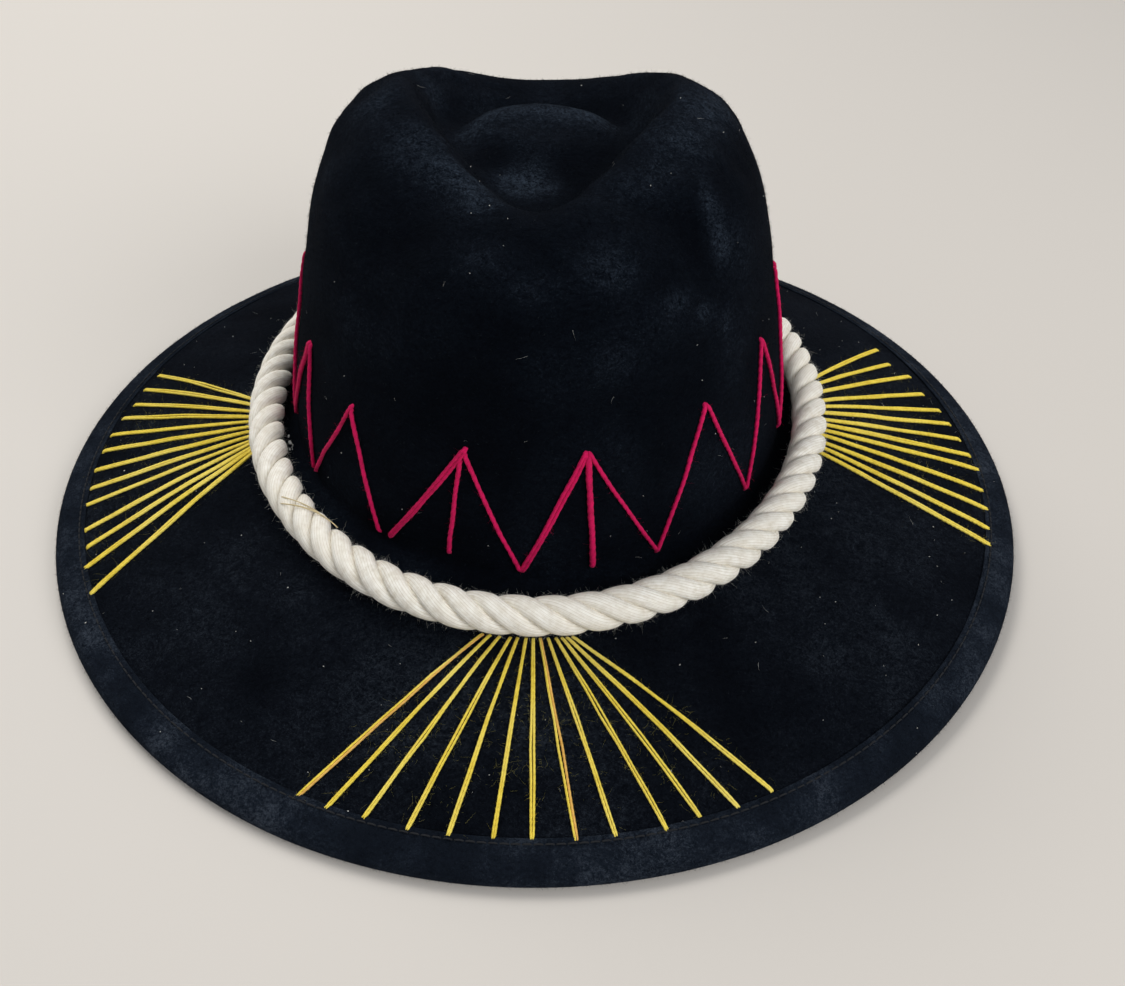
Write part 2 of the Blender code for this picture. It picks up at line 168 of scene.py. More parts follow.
def crown_wall(deg, h, out=0.0):
    """Point on the crown wall at angle and height over the foot, lifted off by out."""
    ks = np.linspace(0, 4.2, 85)
    fh = crown_profile(deg, ks)
    f = np.interp(h, fh[:, 1], fh[:, 0])
    c, n = math.cos(math.radians(deg)), math.sin(math.radians(deg))
    return np.array([(FOOT_A * f + out) * c, FOOT_CY + (FOOT_B * f + out) * n, CROWN_FOOT + h])


def edge_point(inward, deg, z):
    deg = np.asarray(deg, float)
    x, y = BRIM_A * np.cos(np.radians(deg)), BRIM_B * np.sin(np.radians(deg))
    r = np.hypot(x, y)
    f = (r - inward) / r
    return np.stack([x * f, y * f, z + edge_lift(deg)], -1)


def over_brim(inward, deg, dz):
    p = edge_point(inward, deg, 0.0)
    p[..., 2] = brim_z(p[..., 0], p[..., 1]) + dz
    return p


def flange_edge(deg, out=0.0):
    return np.stack([(ROPE_A + CROWN_FLANGE + out) * np.cos(np.radians(deg)),
                     ROPE_CY + (ROPE_B + CROWN_FLANGE + out) * np.sin(np.radians(deg))], -1)


ROPE_RISE = GAP + 0.5 + GAP + ROPE_HELIX_R + 2.15


def rope_centre(a):
    x, y = ROPE_A * np.cos(a), ROPE_CY + ROPE_B * np.sin(a)
    return np.stack([x, y, brim_z(x, y) + GAP + T_CROWN + ROPE_RISE], -1)
# GEO-END


# ===================================================================== helpers
def fourier_noise(seed, scale, count=40, spread=0.6):
    """A smooth random field over 3-D points, about -1 to 1; scale is its size in mm."""
    r = np.random.default_rng(seed)
    k = r.normal(size=(count, 3))
    k *= (2 * math.pi / scale) * (1 + spread * r.uniform(-1, 1, (count, 1))) \
        / np.linalg.norm(k, axis=1, keepdims=True)
    ph = r.uniform(0, 2 * math.pi, count)

    def field(p):
        flat = np.asarray(p, float).reshape(-1, 3)
        out = np.zeros(len(flat))
        for ki, pi in zip(k, ph):
            out += np.sin(flat @ ki + pi)
        return (out * math.sqrt(2.0 / count) * 0.6).reshape(np.shape(p)[:-1])
    return field


class Bag:
    """Collects vertices and quads or triangles, then makes one mesh object."""

    def __init__(self):
        self.v, self.f, self.uv, self.n = [], [], [], 0

    def add(self, verts, faces, uvs=None):
        verts = np.asarray(verts, float).reshape(-1, 3)
        faces = np.asarray(faces, int)
        if faces.shape[1] == 3:
            faces = np.hstack([faces, np.full((len(faces), 1), -1)])
            faces[faces[:, 3] < 0, 3] = -self.n - 1
        self.f.append(np.where(faces < 0, -1, faces + self.n))
        self.v.append(verts)
        self.uv.append(np.zeros((len(verts), 2)) if uvs is None else np.asarray(uvs, float).reshape(-1, 2))
        self.n += len(verts)

    def build(self, name, mat, smooth=True, uv=False):
        v = np.vstack(self.v) * MM
        f = np.vstack(self.f)
        quad = f[:, 3] >= 0
        loops = np.where(quad, 4, 3)
        flat = f.ravel()
        flat = flat[flat >= 0]
        mesh = bpy.data.meshes.new(name)
        mesh.vertices.add(len(v))
        mesh.vertices.foreach_set("co", v.astype(np.float32).ravel())
        mesh.loops.add(len(flat))
        mesh.loops.foreach_set("vertex_index", flat.astype(np.int32))
        mesh.polygons.add(len(f))
        starts = np.concatenate([[0], np.cumsum(loops)[:-1]])
        mesh.polygons.foreach_set("loop_start", starts.astype(np.int32))
        mesh.polygons.foreach_set("use_smooth", np.full(len(f), smooth))
        if uv:
            layer = mesh.uv_layers.new(name="UVMap")
            u = np.vstack(self.uv)[flat]
            layer.data.foreach_set("uv", u.astype(np.float32).ravel())
        mesh.update(calc_edges=True)
        mesh.validate()
        mesh.materials.append(mat)
        obj = bpy.data.objects.new(name, mesh)
        bpy.context.scene.collection.objects.link(obj)
        return obj


def unit(v):
    return v / np.maximum(np.linalg.norm(v, axis=-1, keepdims=True), 1e-12)


def grid_normals(g, closed_cols=True):
    """Outward normals of a (rows, cols, 3) grid whose rows climb."""
    du = np.gradient(g, axis=0)
    if closed_cols:
        dv = np.roll(g, -1, 1) - np.roll(g, 1, 1)
    else:
        dv = np.gradient(g, axis=1)
    return unit(np.cross(dv, du))


def grid_faces(rows, cols, closed=True, flip=False):
    i, j = np.meshgrid(np.arange(rows - 1), np.arange(cols if closed else cols - 1), indexing="ij")
    k = (j + 1) % cols
    q = np.stack([i * cols + j, i * cols + k, (i + 1) * cols + k, (i + 1) * cols + j], -1).reshape(-1, 4)
    return q[:, ::-1] if flip else q


def shell(bag, outer, thickness, pole=False):
    """A closed skin: the outer grid, an inner grid and the rims between them."""
    n = grid_normals(outer)
    if pole:
        n[-1] = n[-2].mean(0) / np.linalg.norm(n[-2].mean(0))
    inner = outer - n * thickness
    rows, cols = outer.shape[:2]
    verts = np.concatenate([outer.reshape(-1, 3), inner.reshape(-1, 3)])
    off = rows * cols
    faces = [grid_faces(rows, cols), grid_faces(rows, cols, flip=True) + off]
    j = np.arange(cols)
    k = (j + 1) % cols
    faces.append(np.stack([j, j + off, k + off, k], -1))
    if not pole:
        a, b = (rows - 1) * cols + j, (rows - 1) * cols + k
        faces.append(np.stack([a, b, b + off, a + off], -1))
    bag.add(verts, np.vstack(faces))
    if pole:
        # close both tops with a fan of triangles round a centre point
        for side, base, grid in ((1, 0, outer), (-1, off, inner)):
            ring = grid[-1]
            c = ring.mean(0)
            start = (rows - 1) * cols + base
            tri = np.stack([start + j, start + k, np.full(cols, 2 * off)], -1)
            if side < 0:
                tri = tri[:, [1, 0, 2]]
            bag_index = bag.n
            bag.v.append(c[None])
            bag.uv.append(np.zeros((1, 2)))
            tri = tri + (bag.n - 2 * off - (0 if side > 0 else 1))
            tri[:, 2] = bag_index
            bag.f.append(np.hstack([tri, np.full((cols, 1), -1)]))
            bag.n += 1


def sweep(bag, path, radius, sides, up, closed=False, uvlen=1.0, taper=False):
    """A tube along a path; up gives the direction that angle zero points to."""
    path = np.asarray(path, float)
    n = len(path)
    if closed:
        t = unit(np.roll(path, -1, 0) - np.roll(path, 1, 0))
    else:
        t = unit(np.gradient(path, axis=0))
    up = np.broadcast_to(np.asarray(up, float), path.shape)
    side = unit(np.cross(t, up))
    upp = np.cross(side, t)
    th = np.arange(sides) * 2 * math.pi / sides
    r = np.broadcast_to(np.asarray(radius, float), (n,))[:, None, None] if np.ndim(radius) < 2 \
        else np.asarray(radius)[..., None]
    ring = path[:, None] + r * (np.cos(th)[None, :, None] * upp[:, None] + np.sin(th)[None, :, None] * side[:, None])
    length = np.concatenate([[0], np.cumsum(np.linalg.norm(np.diff(path, axis=0), axis=1))])
    uv = np.stack(np.broadcast_arrays(length[:, None] * uvlen, (th / (2 * math.pi))[None]), -1)
    faces = grid_faces(n, sides)
    verts = ring.reshape(-1, 3)
    uvs = uv.reshape(-1, 2)
    if closed:
        j = np.arange(sides)
        k = (j + 1) % sides
        faces = np.vstack([faces, np.stack([(n - 1) * sides + j, (n - 1) * sides + k, k, j], -1)])
        bag.add(verts, faces, uvs)
        return
    base = bag.n
    bag.add(verts, faces, uvs)
    j = np.arange(sides)
    k = (j + 1) % sides
    for end, at in ((0, base), (n - 1, base + (n - 1) * sides)):
        bag.v.append(path[end][None] + (-t[0] if end == 0 else t[-1]) * (0.35 * float(np.mean(radius)) if np.ndim(radius) < 2 else 0.2))
        bag.uv.append(np.zeros((1, 2)))
        tri = np.stack([at + k, at + j, np.full(sides, bag.n)], -1) if end == 0 else \
            np.stack([at + j, at + k, np.full(sides, bag.n)], -1)
        bag.f.append(np.hstack([tri, np.full((sides, 1), -1)]))
        bag.n += 1


def resample(path, step):
    path = np.asarray(path, float)
    d = np.concatenate([[0], np.cumsum(np.linalg.norm(np.diff(path, axis=0), axis=1))])
    m = max(4, int(d[-1] / step) + 1)
    s = np.linspace(0, d[-1], m)
    return np.stack([np.interp(s, d, path[:, i]) for i in range(3)], -1), s


def yarn(bag, path, up, plies=2, radius=0.62, pitch=4.2, phase=0.0, sides=7, wobble=0.05, seed=0):
    """A plied yarn along a path: each ply winds round the others."""
    p, s = resample(path, pitch / 11.0)
    if np.ndim(up) == 2:
        d = np.linspace(0, 1, len(up))
        up = np.stack([np.interp(np.linspace(0, 1, len(p)), d, up[:, i]) for i in range(3)], -1)
    up = np.broadcast_to(np.asarray(up, float), p.shape)
    t = unit(np.gradient(p, axis=0))
    side = unit(np.cross(t, up))
    upp = np.cross(side, t)
    r = np.random.default_rng(seed)
    drift = np.interp(s, np.linspace(0, s[-1], 9), np.cumsum(r.normal(0, 0.35, 9)))
    ply_r = radius * (0.83 if plies == 2 else 0.6)
    hr = radius - ply_r
    thick = 1 + wobble * np.interp(s, np.linspace(0, s[-1], max(4, int(s[-1] / 3))), r.normal(0, 1, max(4, int(s[-1] / 3))))
    for q in range(plies):
        w = 2 * math.pi * (s / pitch + q / plies) + phase + drift
        c = p + (np.cos(w)[:, None] * upp + np.sin(w)[:, None] * side) * hr
        sweep(bag, c, ply_r * thick, sides, np.cos(w)[:, None] * upp + np.sin(w)[:, None] * side)


def hairs(bag, roots, normals, length, radius, seed, lean=0.8, curl=0.5, segs=4, flat=0.0):
    """Thin bent fibres standing off a surface, each a closed three-sided cone."""
    r = np.random.default_rng(seed)
    n = len(roots)
    normals = unit(np.asarray(normals, float))
    rand = unit(r.normal(size=(n, 3)))
    tang = unit(rand - (rand * normals).sum(1, keepdims=True) * normals)
    rand2 = unit(r.normal(size=(n, 3)))
    L = length * r.uniform(0.35, 1.0, n) ** 1.3
    lean = lean * r.uniform(0.2, 1.5, n)
    d0 = unit(normals * (1 - flat) + tang * lean[:, None])
    pts = []
    for i in range(segs + 1):
        f = i / segs
        pts.append(roots + d0 * (L * f)[:, None] + (tang * (f * f)) * (L * lean * 0.5)[:, None]
                   + rand2 * (L * curl * f * f * 0.6)[:, None])
    pts = np.stack(pts, 1)
    t = unit(np.gradient(pts, axis=1))
    a = unit(np.cross(t, rand[:, None] + 0.01))
    b = np.cross(t, a)
    verts = []
    for i in range(segs):
        w = radius * (1 - 0.75 * i / segs)
        for m in range(3):
            ang = 2 * math.pi * m / 3
            verts.append(pts[:, i] + (math.cos(ang) * a[:, i] + math.sin(ang) * b[:, i]) * w)
    verts.append(pts[:, segs])
    verts = np.stack(verts, 1)                     # (n, 3*segs+1, 3)
    m = verts.shape[1]
    quads, tris = [], [[2, 1, 0]]
    for i in range(segs - 1):
        for j in range(3):
            k = (j + 1) % 3
            quads.append([3 * i + j, 3 * i + k, 3 * i + 3 + k, 3 * i + 3 + j])
    for j in range(3):
        tris.append([3 * (segs - 1) + j, 3 * (segs - 1) + (j + 1) % 3, 3 * segs])
    base = (np.arange(n) * m)[:, None, None]
    off = bag.n
    if quads:
        bag.f.append((np.array(quads)[None] + base).reshape(-1, 4) + off)
    tr = (np.array(tris)[None] + base).reshape(-1, 3) + off
    bag.v.append(verts.reshape(-1, 3))
    bag.uv.append(np.zeros((n * m, 2)))
    bag.f.append(np.hstack([tr, np.full((len(tr), 1), -1)]))
    bag.n += n * m


# ===================================================================== materials
def nodes_of(mat):
    mat.use_nodes = True
    nt = mat.node_tree
    nt.nodes.clear()
    out = nt.nodes.new("ShaderNodeOutputMaterial")
    sh = nt.nodes.new("ShaderNodeBsdfPrincipled")
    nt.links.new(sh.outputs["BSDF"], out.inputs["Surface"])
    return nt, sh


def noise(nt, coord, scale, detail=3.0, rough=0.55, distortion=0.0):
    n = nt.nodes.new("ShaderNodeTexNoise")
    n.inputs["Scale"].default_value = scale
    n.inputs["Detail"].default_value = detail
    n.inputs["Roughness"].default_value = rough
    n.inputs["Distortion"].default_value = distortion
    nt.links.new(coord, n.inputs["Vector"])
    return n.outputs["Fac"]


def ramp(nt, fac, stops):
    r = nt.nodes.new("ShaderNodeValToRGB")
    el = r.color_ramp.elements
    while len(el) > 1:
        el.remove(el[-1])
    el[0].position, el[0].color = stops[0][0], (*stops[0][1], 1)
    for pos, col in stops[1:]:
        e = el.new(pos)
        e.color = (*col, 1)
    nt.links.new(fac, r.inputs["Fac"])
    return r.outputs["Color"]


def math_node(nt, op, a, b=None, c=None, clamp=False):
    m = nt.nodes.new("ShaderNodeMath")
    m.operation = op
    m.use_clamp = clamp
    for i, v in enumerate((a, b, c)):
        if v is None:
            continue
        if isinstance(v, (int, float)):
            m.inputs[i].default_value = v
        else:
            nt.links.new(v, m.inputs[i])
    return m.outputs[0]


def mix(nt, fac, a, b, mode="MIX"):
    m = nt.nodes.new("ShaderNodeMix")
    m.data_type = "RGBA"
    m.blend_type = mode
    for key, v in (("Factor", fac), ("A", a), ("B", b)):
        sock = [s for s in m.inputs if s.name == key and s.type == ("VALUE" if key == "Factor" else "RGBA")][0]
        if isinstance(v, (int, float)):
            sock.default_value = v
        elif isinstance(v, tuple):
            sock.default_value = (*v, 1)
        else:
            nt.links.new(v, sock)
    return [o for o in m.outputs if o.type == "RGBA"][0]


def bump(nt, height, strength, distance, normal=None):
    b = nt.nodes.new("ShaderNodeBump")
    b.inputs["Strength"].default_value = strength
    b.inputs["Distance"].default_value = distance
    nt.links.new(height, b.inputs["Height"])
    if normal is not None:
        nt.links.new(normal, b.inputs["Normal"])
    return b.outputs["Normal"]


def object_coord(nt):
    return nt.nodes.new("ShaderNodeTexCoord").outputs["Object"]


def scaled(nt, vec, sx, sy, sz):
    m = nt.nodes.new("ShaderNodeMapping")
    m.inputs["Scale"].default_value = (sx, sy, sz)
    nt.links.new(vec, m.inputs["Vector"])
    return m.outputs["Vector"]


def suede(name, dark, mid_c, light, strength=1.0, sheen=0.014, tint=(0.55, 0.62, 0.8)):
    """Faux suede: the 'nap' value of each point says how far the pile is brushed up; on the crown it also holds painted
    highlights and painted shade.
    """
    mat = bpy.data.materials.new(name)
    nt, sh = nodes_of(mat)
    co = object_coord(nt)
    att = nt.nodes.new("ShaderNodeAttribute")
    att.attribute_name = "nap"
    nap = att.outputs["Fac"]
    warp = nt.nodes.new("ShaderNodeTexNoise")
    warp.inputs["Scale"].default_value = 60.0
    warp.inputs["Detail"].default_value = 2.0
    nt.links.new(co, warp.inputs["Vector"])
    shift = nt.nodes.new("ShaderNodeVectorMath")
    shift.operation = "MULTIPLY_ADD"
    shift.inputs[1].default_value = (0.012, 0.012, 0.012)
    nt.links.new(warp.outputs["Color"], shift.inputs[0])
    nt.links.new(co, shift.inputs[2])
    wco = shift.outputs[0]
    big = noise(nt, co, 26.0, 3.0, 0.6, 0.8)                       # brushed areas, about 40 mm
    tuft = noise(nt, scaled(nt, wco, 0.8, 1.0, 1.7), 430.0, 6.0, 0.76, 0.5)   # tufts of 2 to 4 mm
    fine = noise(nt, co, 1250.0, 4.0, 0.75, 0.3)                   # pile clumps
    grit = noise(nt, co, 3800.0, 2.0, 0.6)
    # contrast-stretched tufts
    tf = math_node(nt, "MULTIPLY_ADD", tuft, 3.4, -1.25, clamp=True)
    ff = math_node(nt, "MULTIPLY_ADD", fine, 3.0, -1.05, clamp=True)
    gg = math_node(nt, "MULTIPLY_ADD", grit, 2.2, -0.6, clamp=True)
    tex = math_node(nt, "ADD", math_node(nt, "MULTIPLY", tf, 0.45), math_node(nt, "MULTIPLY", ff, 0.55))
    tex = math_node(nt, "MULTIPLY", tex, math_node(nt, "MULTIPLY_ADD", gg, 0.9, 0.4))
    tips = noise(nt, co, 2300.0, 2.0, 0.6, 0.4)                    # single raised hairs
    tips = math_node(nt, "MULTIPLY_ADD", tips, 7.0, -4.25, clamp=True)
    area_ = math_node(nt, "MULTIPLY_ADD", big, 2.2, -0.80, clamp=True)
    # lift: the nap value, with the crown's painted highlights and shade, plus brushed areas
    lift = math_node(nt, "ADD", math_node(nt, "MULTIPLY", nap, 1.0), math_node(nt, "MULTIPLY", area_, 0.20))
    lift = math_node(nt, "ADD", lift, 0.06)
    t = math_node(nt, "MULTIPLY", lift, math_node(nt, "MULTIPLY_ADD", tex, 1.75, 0.02))
    t = math_node(nt, "ADD", t, math_node(nt, "MULTIPLY", tips, math_node(nt, "MULTIPLY_ADD", lift, 0.5, 0.14)))
    t = math_node(nt, "MULTIPLY", t, strength, clamp=True)
    col = ramp(nt, t, [(0.0, dark), (0.30, mid_c), (1.0, light)])
    nt.links.new(col, sh.inputs["Base Color"])
    sh.inputs["Roughness"].default_value = 1.0
    sh.inputs["Specular IOR Level"].default_value = 0.01
    sh.inputs["Sheen Weight"].default_value = sheen
    sh.inputs["Sheen Roughness"].default_value = 0.5
    sh.inputs["Sheen Tint"].default_value = (*tint, 1)
    h = math_node(nt, "ADD", math_node(nt, "MULTIPLY", fine, 0.6), math_node(nt, "MULTIPLY", grit, 0.4))
    nrm = bump(nt, h, 0.8, 0.0005)
    nrm = bump(nt, tuft, 0.55, 0.0016, nrm)
    nt.links.new(nrm, sh.inputs["Normal"])
    return mat


def cloth(name, colour, rough=0.8, scale=1500.0, sheen=0.2, depth=0.00015):
    mat = bpy.data.materials.new(name)
    nt, sh = nodes_of(mat)
    co = object_coord(nt)
    fine = noise(nt, co, scale, 2.0, 0.6)
    big = noise(nt, co, 60.0, 2.0, 0.5)
    v = math_node(nt, "ADD", math_node(nt, "MULTIPLY", fine, 0.5), math_node(nt, "MULTIPLY", big, 0.5))
    col = ramp(nt, v, [(0.25, tuple(0.72 * c for c in colour)), (0.75, tuple(min(1, 1.2 * c) for c in colour))])
    nt.links.new(col, sh.inputs["Base Color"])
    sh.inputs["Roughness"].default_value = rough
    sh.inputs["Sheen Weight"].default_value = sheen
    nt.links.new(bump(nt, fine, 0.5, depth), sh.inputs["Normal"])
    return mat


def fibre(name, colour, shade, rough=0.85, stretch=30.0, sheen=0.3, subsurface=0.0, mottle=(0, 0, 0), yarns=0):
    """Yarn or strand: fine fibre streaks along its length by its own UV map; with yarns, painted shade in the grooves
    between them.
    """
    mat = bpy.data.materials.new(name)
    nt, sh = nodes_of(mat)
    uv = nt.nodes.new("ShaderNodeUVMap")
    uv.uv_map = "UVMap"
    co = object_coord(nt)
    streak = noise(nt, scaled(nt, uv.outputs["UV"], 0.35, stretch, 1.0), 3.0, 4.0, 0.65)
    spot = noise(nt, co, 420.0, 3.0, 0.6)
    big = noise(nt, co, 35.0, 2.0, 0.5)
    v = math_node(nt, "ADD", math_node(nt, "MULTIPLY", streak, 0.6), math_node(nt, "MULTIPLY", spot, 0.4))
    col = ramp(nt, v, [(0.30, shade), (0.56, colour), (0.8, tuple(min(1.0, c * 1.08) for c in colour))])
    if any(mottle):
        col = mix(nt, math_node(nt, "MULTIPLY_ADD", big, 2.4, -1.05, clamp=True), col, mottle)
    if yarns:
        # painted shade: a dark line in the groove between the yarns of a strand
        split = nt.nodes.new("ShaderNodeSeparateXYZ")
        nt.links.new(uv.outputs["UV"], split.inputs[0])
        wave = math_node(nt, "ABSOLUTE", math_node(nt, "SINE", math_node(nt, "MULTIPLY", split.outputs[1], math.pi * yarns)))
        line = math_node(nt, "MULTIPLY_ADD", wave, -2.3, 1.0, clamp=True)
        line = math_node(nt, "MULTIPLY", line, math_node(nt, "MULTIPLY_ADD", streak, 1.3, 0.05), clamp=True)
        col = mix(nt, line, col, shade)
    nt.links.new(col, sh.inputs["Base Color"])
    sh.inputs["Roughness"].default_value = rough
    sh.inputs["Specular IOR Level"].default_value = 0.25
    sh.inputs["Sheen Weight"].default_value = sheen
    sh.inputs["Sheen Roughness"].default_value = 0.4
    if subsurface:
        sh.inputs["Subsurface Weight"].default_value = subsurface
        sh.inputs["Subsurface Radius"].default_value = (0.002, 0.0015, 0.001)
        sh.inputs["Subsurface Scale"].default_value = 1.0
    nt.links.new(bump(nt, streak, 0.5, 0.00025), sh.inputs["Normal"])
    return mat


M_SUEDE = suede("suede_black", (0.0010, 0.0015, 0.0028), (0.0044, 0.0064, 0.0102), (0.029, 0.040, 0.057))
M_BRIM = suede("suede_brim", (0.0011, 0.0015, 0.0027), (0.0048, 0.0064, 0.0098), (0.030, 0.038, 0.050))
M_UNDER = suede("suede_under", (0.0030, 0.0035, 0.0050), (0.0085, 0.0100, 0.0140), (0.045, 0.052, 0.062))
M_BIND = suede("suede_binding", (0.0042, 0.0058, 0.0092), (0.0100, 0.0140, 0.0215), (0.052, 0.064, 0.084))


def nap_material():
    """Pile hairs: most as dark as the suede, some with pale tips."""
    mat = bpy.data.materials.new("nap_fibre")
    nt, sh = nodes_of(mat)
    n1 = noise(nt, object_coord(nt), 800.0, 2.0, 0.5)
    nt.links.new(ramp(nt, n1, [(0.40, (0.0018, 0.0025, 0.0040)), (0.56, (0.0070, 0.0092, 0.0130)),
                               (0.72, (0.040, 0.048, 0.056))]), sh.inputs["Base Color"])
    sh.inputs["Roughness"].default_value = 1.0
    sh.inputs["Specular IOR Level"].default_value = 0.0
    return mat


M_NAP = nap_material()
M_THREAD = cloth("thread_black", (0.0050, 0.0062, 0.0090), 0.9, 1500.0, 0.0)
M_LINING = cloth("lining_satin", (0.012, 0.012, 0.014), 0.42, 2400.0, 0.1, 0.00005)
M_SWEAT = cloth("sweatband_cloth", (0.018, 0.017, 0.017), 0.75, 1800.0)
# rope colour with 20 yarns: painted shade in the grooves between the yarns
M_ROPE = fibre("cotton_rope", (0.975, 0.945, 0.865), (0.62, 0.55, 0.43), 0.92, 26.0, 0.05, 0.02, (0.92, 0.87, 0.76), 20)
M_FUZZ_W = fibre("cotton_fuzz", (0.93, 0.91, 0.84), (0.82, 0.79, 0.70), 0.9, sheen=0.0)
M_YELLOW = fibre("yarn_yellow", (0.98, 0.77, 0.10), (0.62, 0.42, 0.012), 0.85, 9.0, 0.05, mottle=(0.99, 0.84, 0.22))
M_YELLOW_WARM = fibre("yarn_yellow_warm", (0.92, 0.56, 0.15), (0.66, 0.30, 0.03), 0.85, 9.0, 0.05)
M_WISP = cloth("yellow_wisps", (0.42, 0.38, 0.10), 0.9, 800.0, 0.0)
M_MAGENTA = fibre("yarn_magenta", (0.70, 0.004, 0.105), (0.34, 0.002, 0.045), 0.85, 9.0, 0.04)
M_TACK = fibre("tack_straw", (0.70, 0.58, 0.34), (0.5, 0.38, 0.18), 0.6)
M_LINT = cloth("lint_white", (0.75, 0.74, 0.70), 0.9)


def glue_material():
    mat = bpy.data.materials.new("hot_glue")
    nt, sh = nodes_of(mat)
    co = object_coord(nt)
    n1 = noise(nt, co, 600.0, 2.0)
    nt.links.new(ramp(nt, n1, [(0.3, (0.45, 0.45, 0.43)), (0.7, (0.78, 0.78, 0.75))]), sh.inputs["Base Color"])
    sh.inputs["Roughness"].default_value = 0.32
    sh.inputs["Transmission Weight"].default_value = 0.15
    nt.links.new(bump(nt, n1, 0.4, 0.0003), sh.inputs["Normal"])
    return mat


M_GLUE = glue_material()


def finish_piece(obj, *nodes, slot=None):
    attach(obj, "root")
    if nodes:
        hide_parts(*nodes)
    return obj


# ===================================================================== crown
def set_nap(obj, values):
    """Store the nap value of each vertex; the rest of the mesh gets 0.15."""
    full = np.full(len(obj.data.vertices), 0.15)
    full[:len(values)] = values
    att = obj.data.attributes.new("nap", "FLOAT", "POINT")
    att.data.foreach_set("value", full.astype(np.float32))


def convexity(g, normals, step):
    """How far each point of a closed-column grid stands over its neighbours."""
    rows_ = np.clip(np.arange(g.shape[0]) + step, 0, g.shape[0] - 1)
    rows_b = np.clip(np.arange(g.shape[0]) - step, 0, g.shape[0] - 1)
    avg = (g[rows_] + g[rows_b] + np.roll(g, step, 1) + np.roll(g, -step, 1)) / 4.0
    return ((g - avg) * normals).sum(-1)


def painted_light_spots(p, spots):
    """Painted highlights where the crown's ridges and shoulders face the light, partly brushed nap; negative strengths
    are painted shade. Each as (x, y, z, radius along x, y, z, strength).
    """
    out = np.zeros(p.shape[:-1])
    for x, y, z, a, b, c, k in spots:
        q = (p - np.array([x, y, z])) / np.array([a, b, c])
        out += k * np.exp(-(q ** 2).sum(-1))
    return out


# painted highlights on the lit ridges, shoulders and dome crest, partly brushed nap; the two negative spots are painted
# shade in the well
CROWN_HIGHLIGHT_AND_SHADE_SPOTS = [(-5, -9, 119, 10, 8, 8, 0.75), (0, 28, 127, 24, 7, 5, 0.40), (-17, 24, 126, 8, 8, 6, 0.30),
               (17, 24, 126, 8, 8, 6, 0.30), (-36, 36, 134, 7, 8, 7, 0.45), (-31, 27, 130, 6, 7, 6, 0.45),
               (-25, 17, 125, 6, 7, 6, 0.35), (-37, -24, 138, 9, 8, 6, 0.24), (-28, -32, 134, 8, 6, 6, 0.26),
               (-19, -36, 132, 8, 6, 6, 0.36), (-16, -44, 130, 7, 6, 7, 0.38), (-14, -61, 123, 8, 6, 7, 0.28),
               (0, -69, 118, 12, 6, 6, 0.22), (21, -62, 121, 10, 8, 9, 0.38), (54, 14, 137, 9, 13, 8, 0.40),
               (49, -2, 139, 9, 11, 8, 0.40), (40, -21, 137, 8, 9, 8, 0.24), (31, -34, 134, 8, 7, 7, 0.20),
               (24, -41, 131, 7, 6, 6, 0.16), (48, -35, 127, 3, 5, 6, 0.40), (51, -38, 121, 3, 5, 6, 0.40),
               (53, -41, 116, 3, 5, 5, 0.40), (40, -59, 109, 6, 4, 3, 0.38), (48, -55, 103, 5, 4, 3, 0.38), (54, -50, 98, 4, 4, 3, 0.28),
               (-15, 2, 123, 6, 6, 5, -0.25), (14, -6, 121, 6, 6, 5, -0.25), (-47, 4, 136, 9, 14, 8, 0.35),
               (-50, 60, 128, 14, 14, 10, 0.35), (30, 84, 122, 18, 10, 10, 0.35), (60, 60, 110, 12, 14, 12, 0.25),
               (-20, 100, 90, 18, 10, 16, 0.25), (70, 30, 100, 8, 16, 14, 0.22), (-74, 10, 95, 8, 18, 14, 0.20)]
RIM_WAVE = fourier_noise(8, 15.0)
LOW_WAVE = fourier_noise(3, 70.0)
MID_WAVE = fourier_noise(4, 26.0)


def crown_wave(p):
    """How far the hand-shaped felt stands off its smooth form, along its normal."""
    top = np.clip((p[..., 2] - 116.0) / 12.0, 0, 1)
    return ((0.35 * LOW_WAVE(p) + 0.22 * MID_WAVE(p)) * np.clip((p[..., 2] - CROWN_FOOT) / 25.0, 0, 1)
            + top * (0.24 * RIM_WAVE(p) + 0.12 * MID_WAVE(p)))



COLS = 320
DEGS = np.arange(COLS) * 360.0 / COLS - 90.0
rows = []
for extra in (1.0, 0.85, 0.7, 0.5, 0.3, 0.16, 0.07):
    e = flange_edge(DEGS)
    fx, fy = brim_xy(0.0, DEGS)
    x, y = fx + (e[:, 0] - fx) * extra, fy + (e[:, 1] - fy) * extra
    # the flange turns up into the wall on a small fillet
    lift = 1.1 * max(0.0, 1 - extra / 0.3) ** 2
    rows.append(np.stack([x, y, brim_z(x, y) + GAP + T_CROWN + lift], -1))
KS = np.concatenate([np.linspace(0.06, 4.0, 48), np.linspace(4.06, 9.86, 88)])
wall = crown_grid(DEGS, KS)
wn = grid_normals(wall)
wall = wall + wn * crown_wave(wall)[..., None]
crown_outer = np.concatenate([np.stack(rows), wall])
bag = Bag()
shell(bag, crown_outer, T_CROWN, pole=True)
crown = finish_piece(bag.build("crown_suede", M_SUEDE), "crown_shell", slot="suede")
BROAD = fourier_noise(9, 34.0)
cn = grid_normals(crown_outer)
conv = np.clip(convexity(crown_outer, cn, 4) / 1.1, -0.5, 1.0)
conv *= np.clip((crown_outer[..., 2] - 60.0) / 40.0, 0, 1)
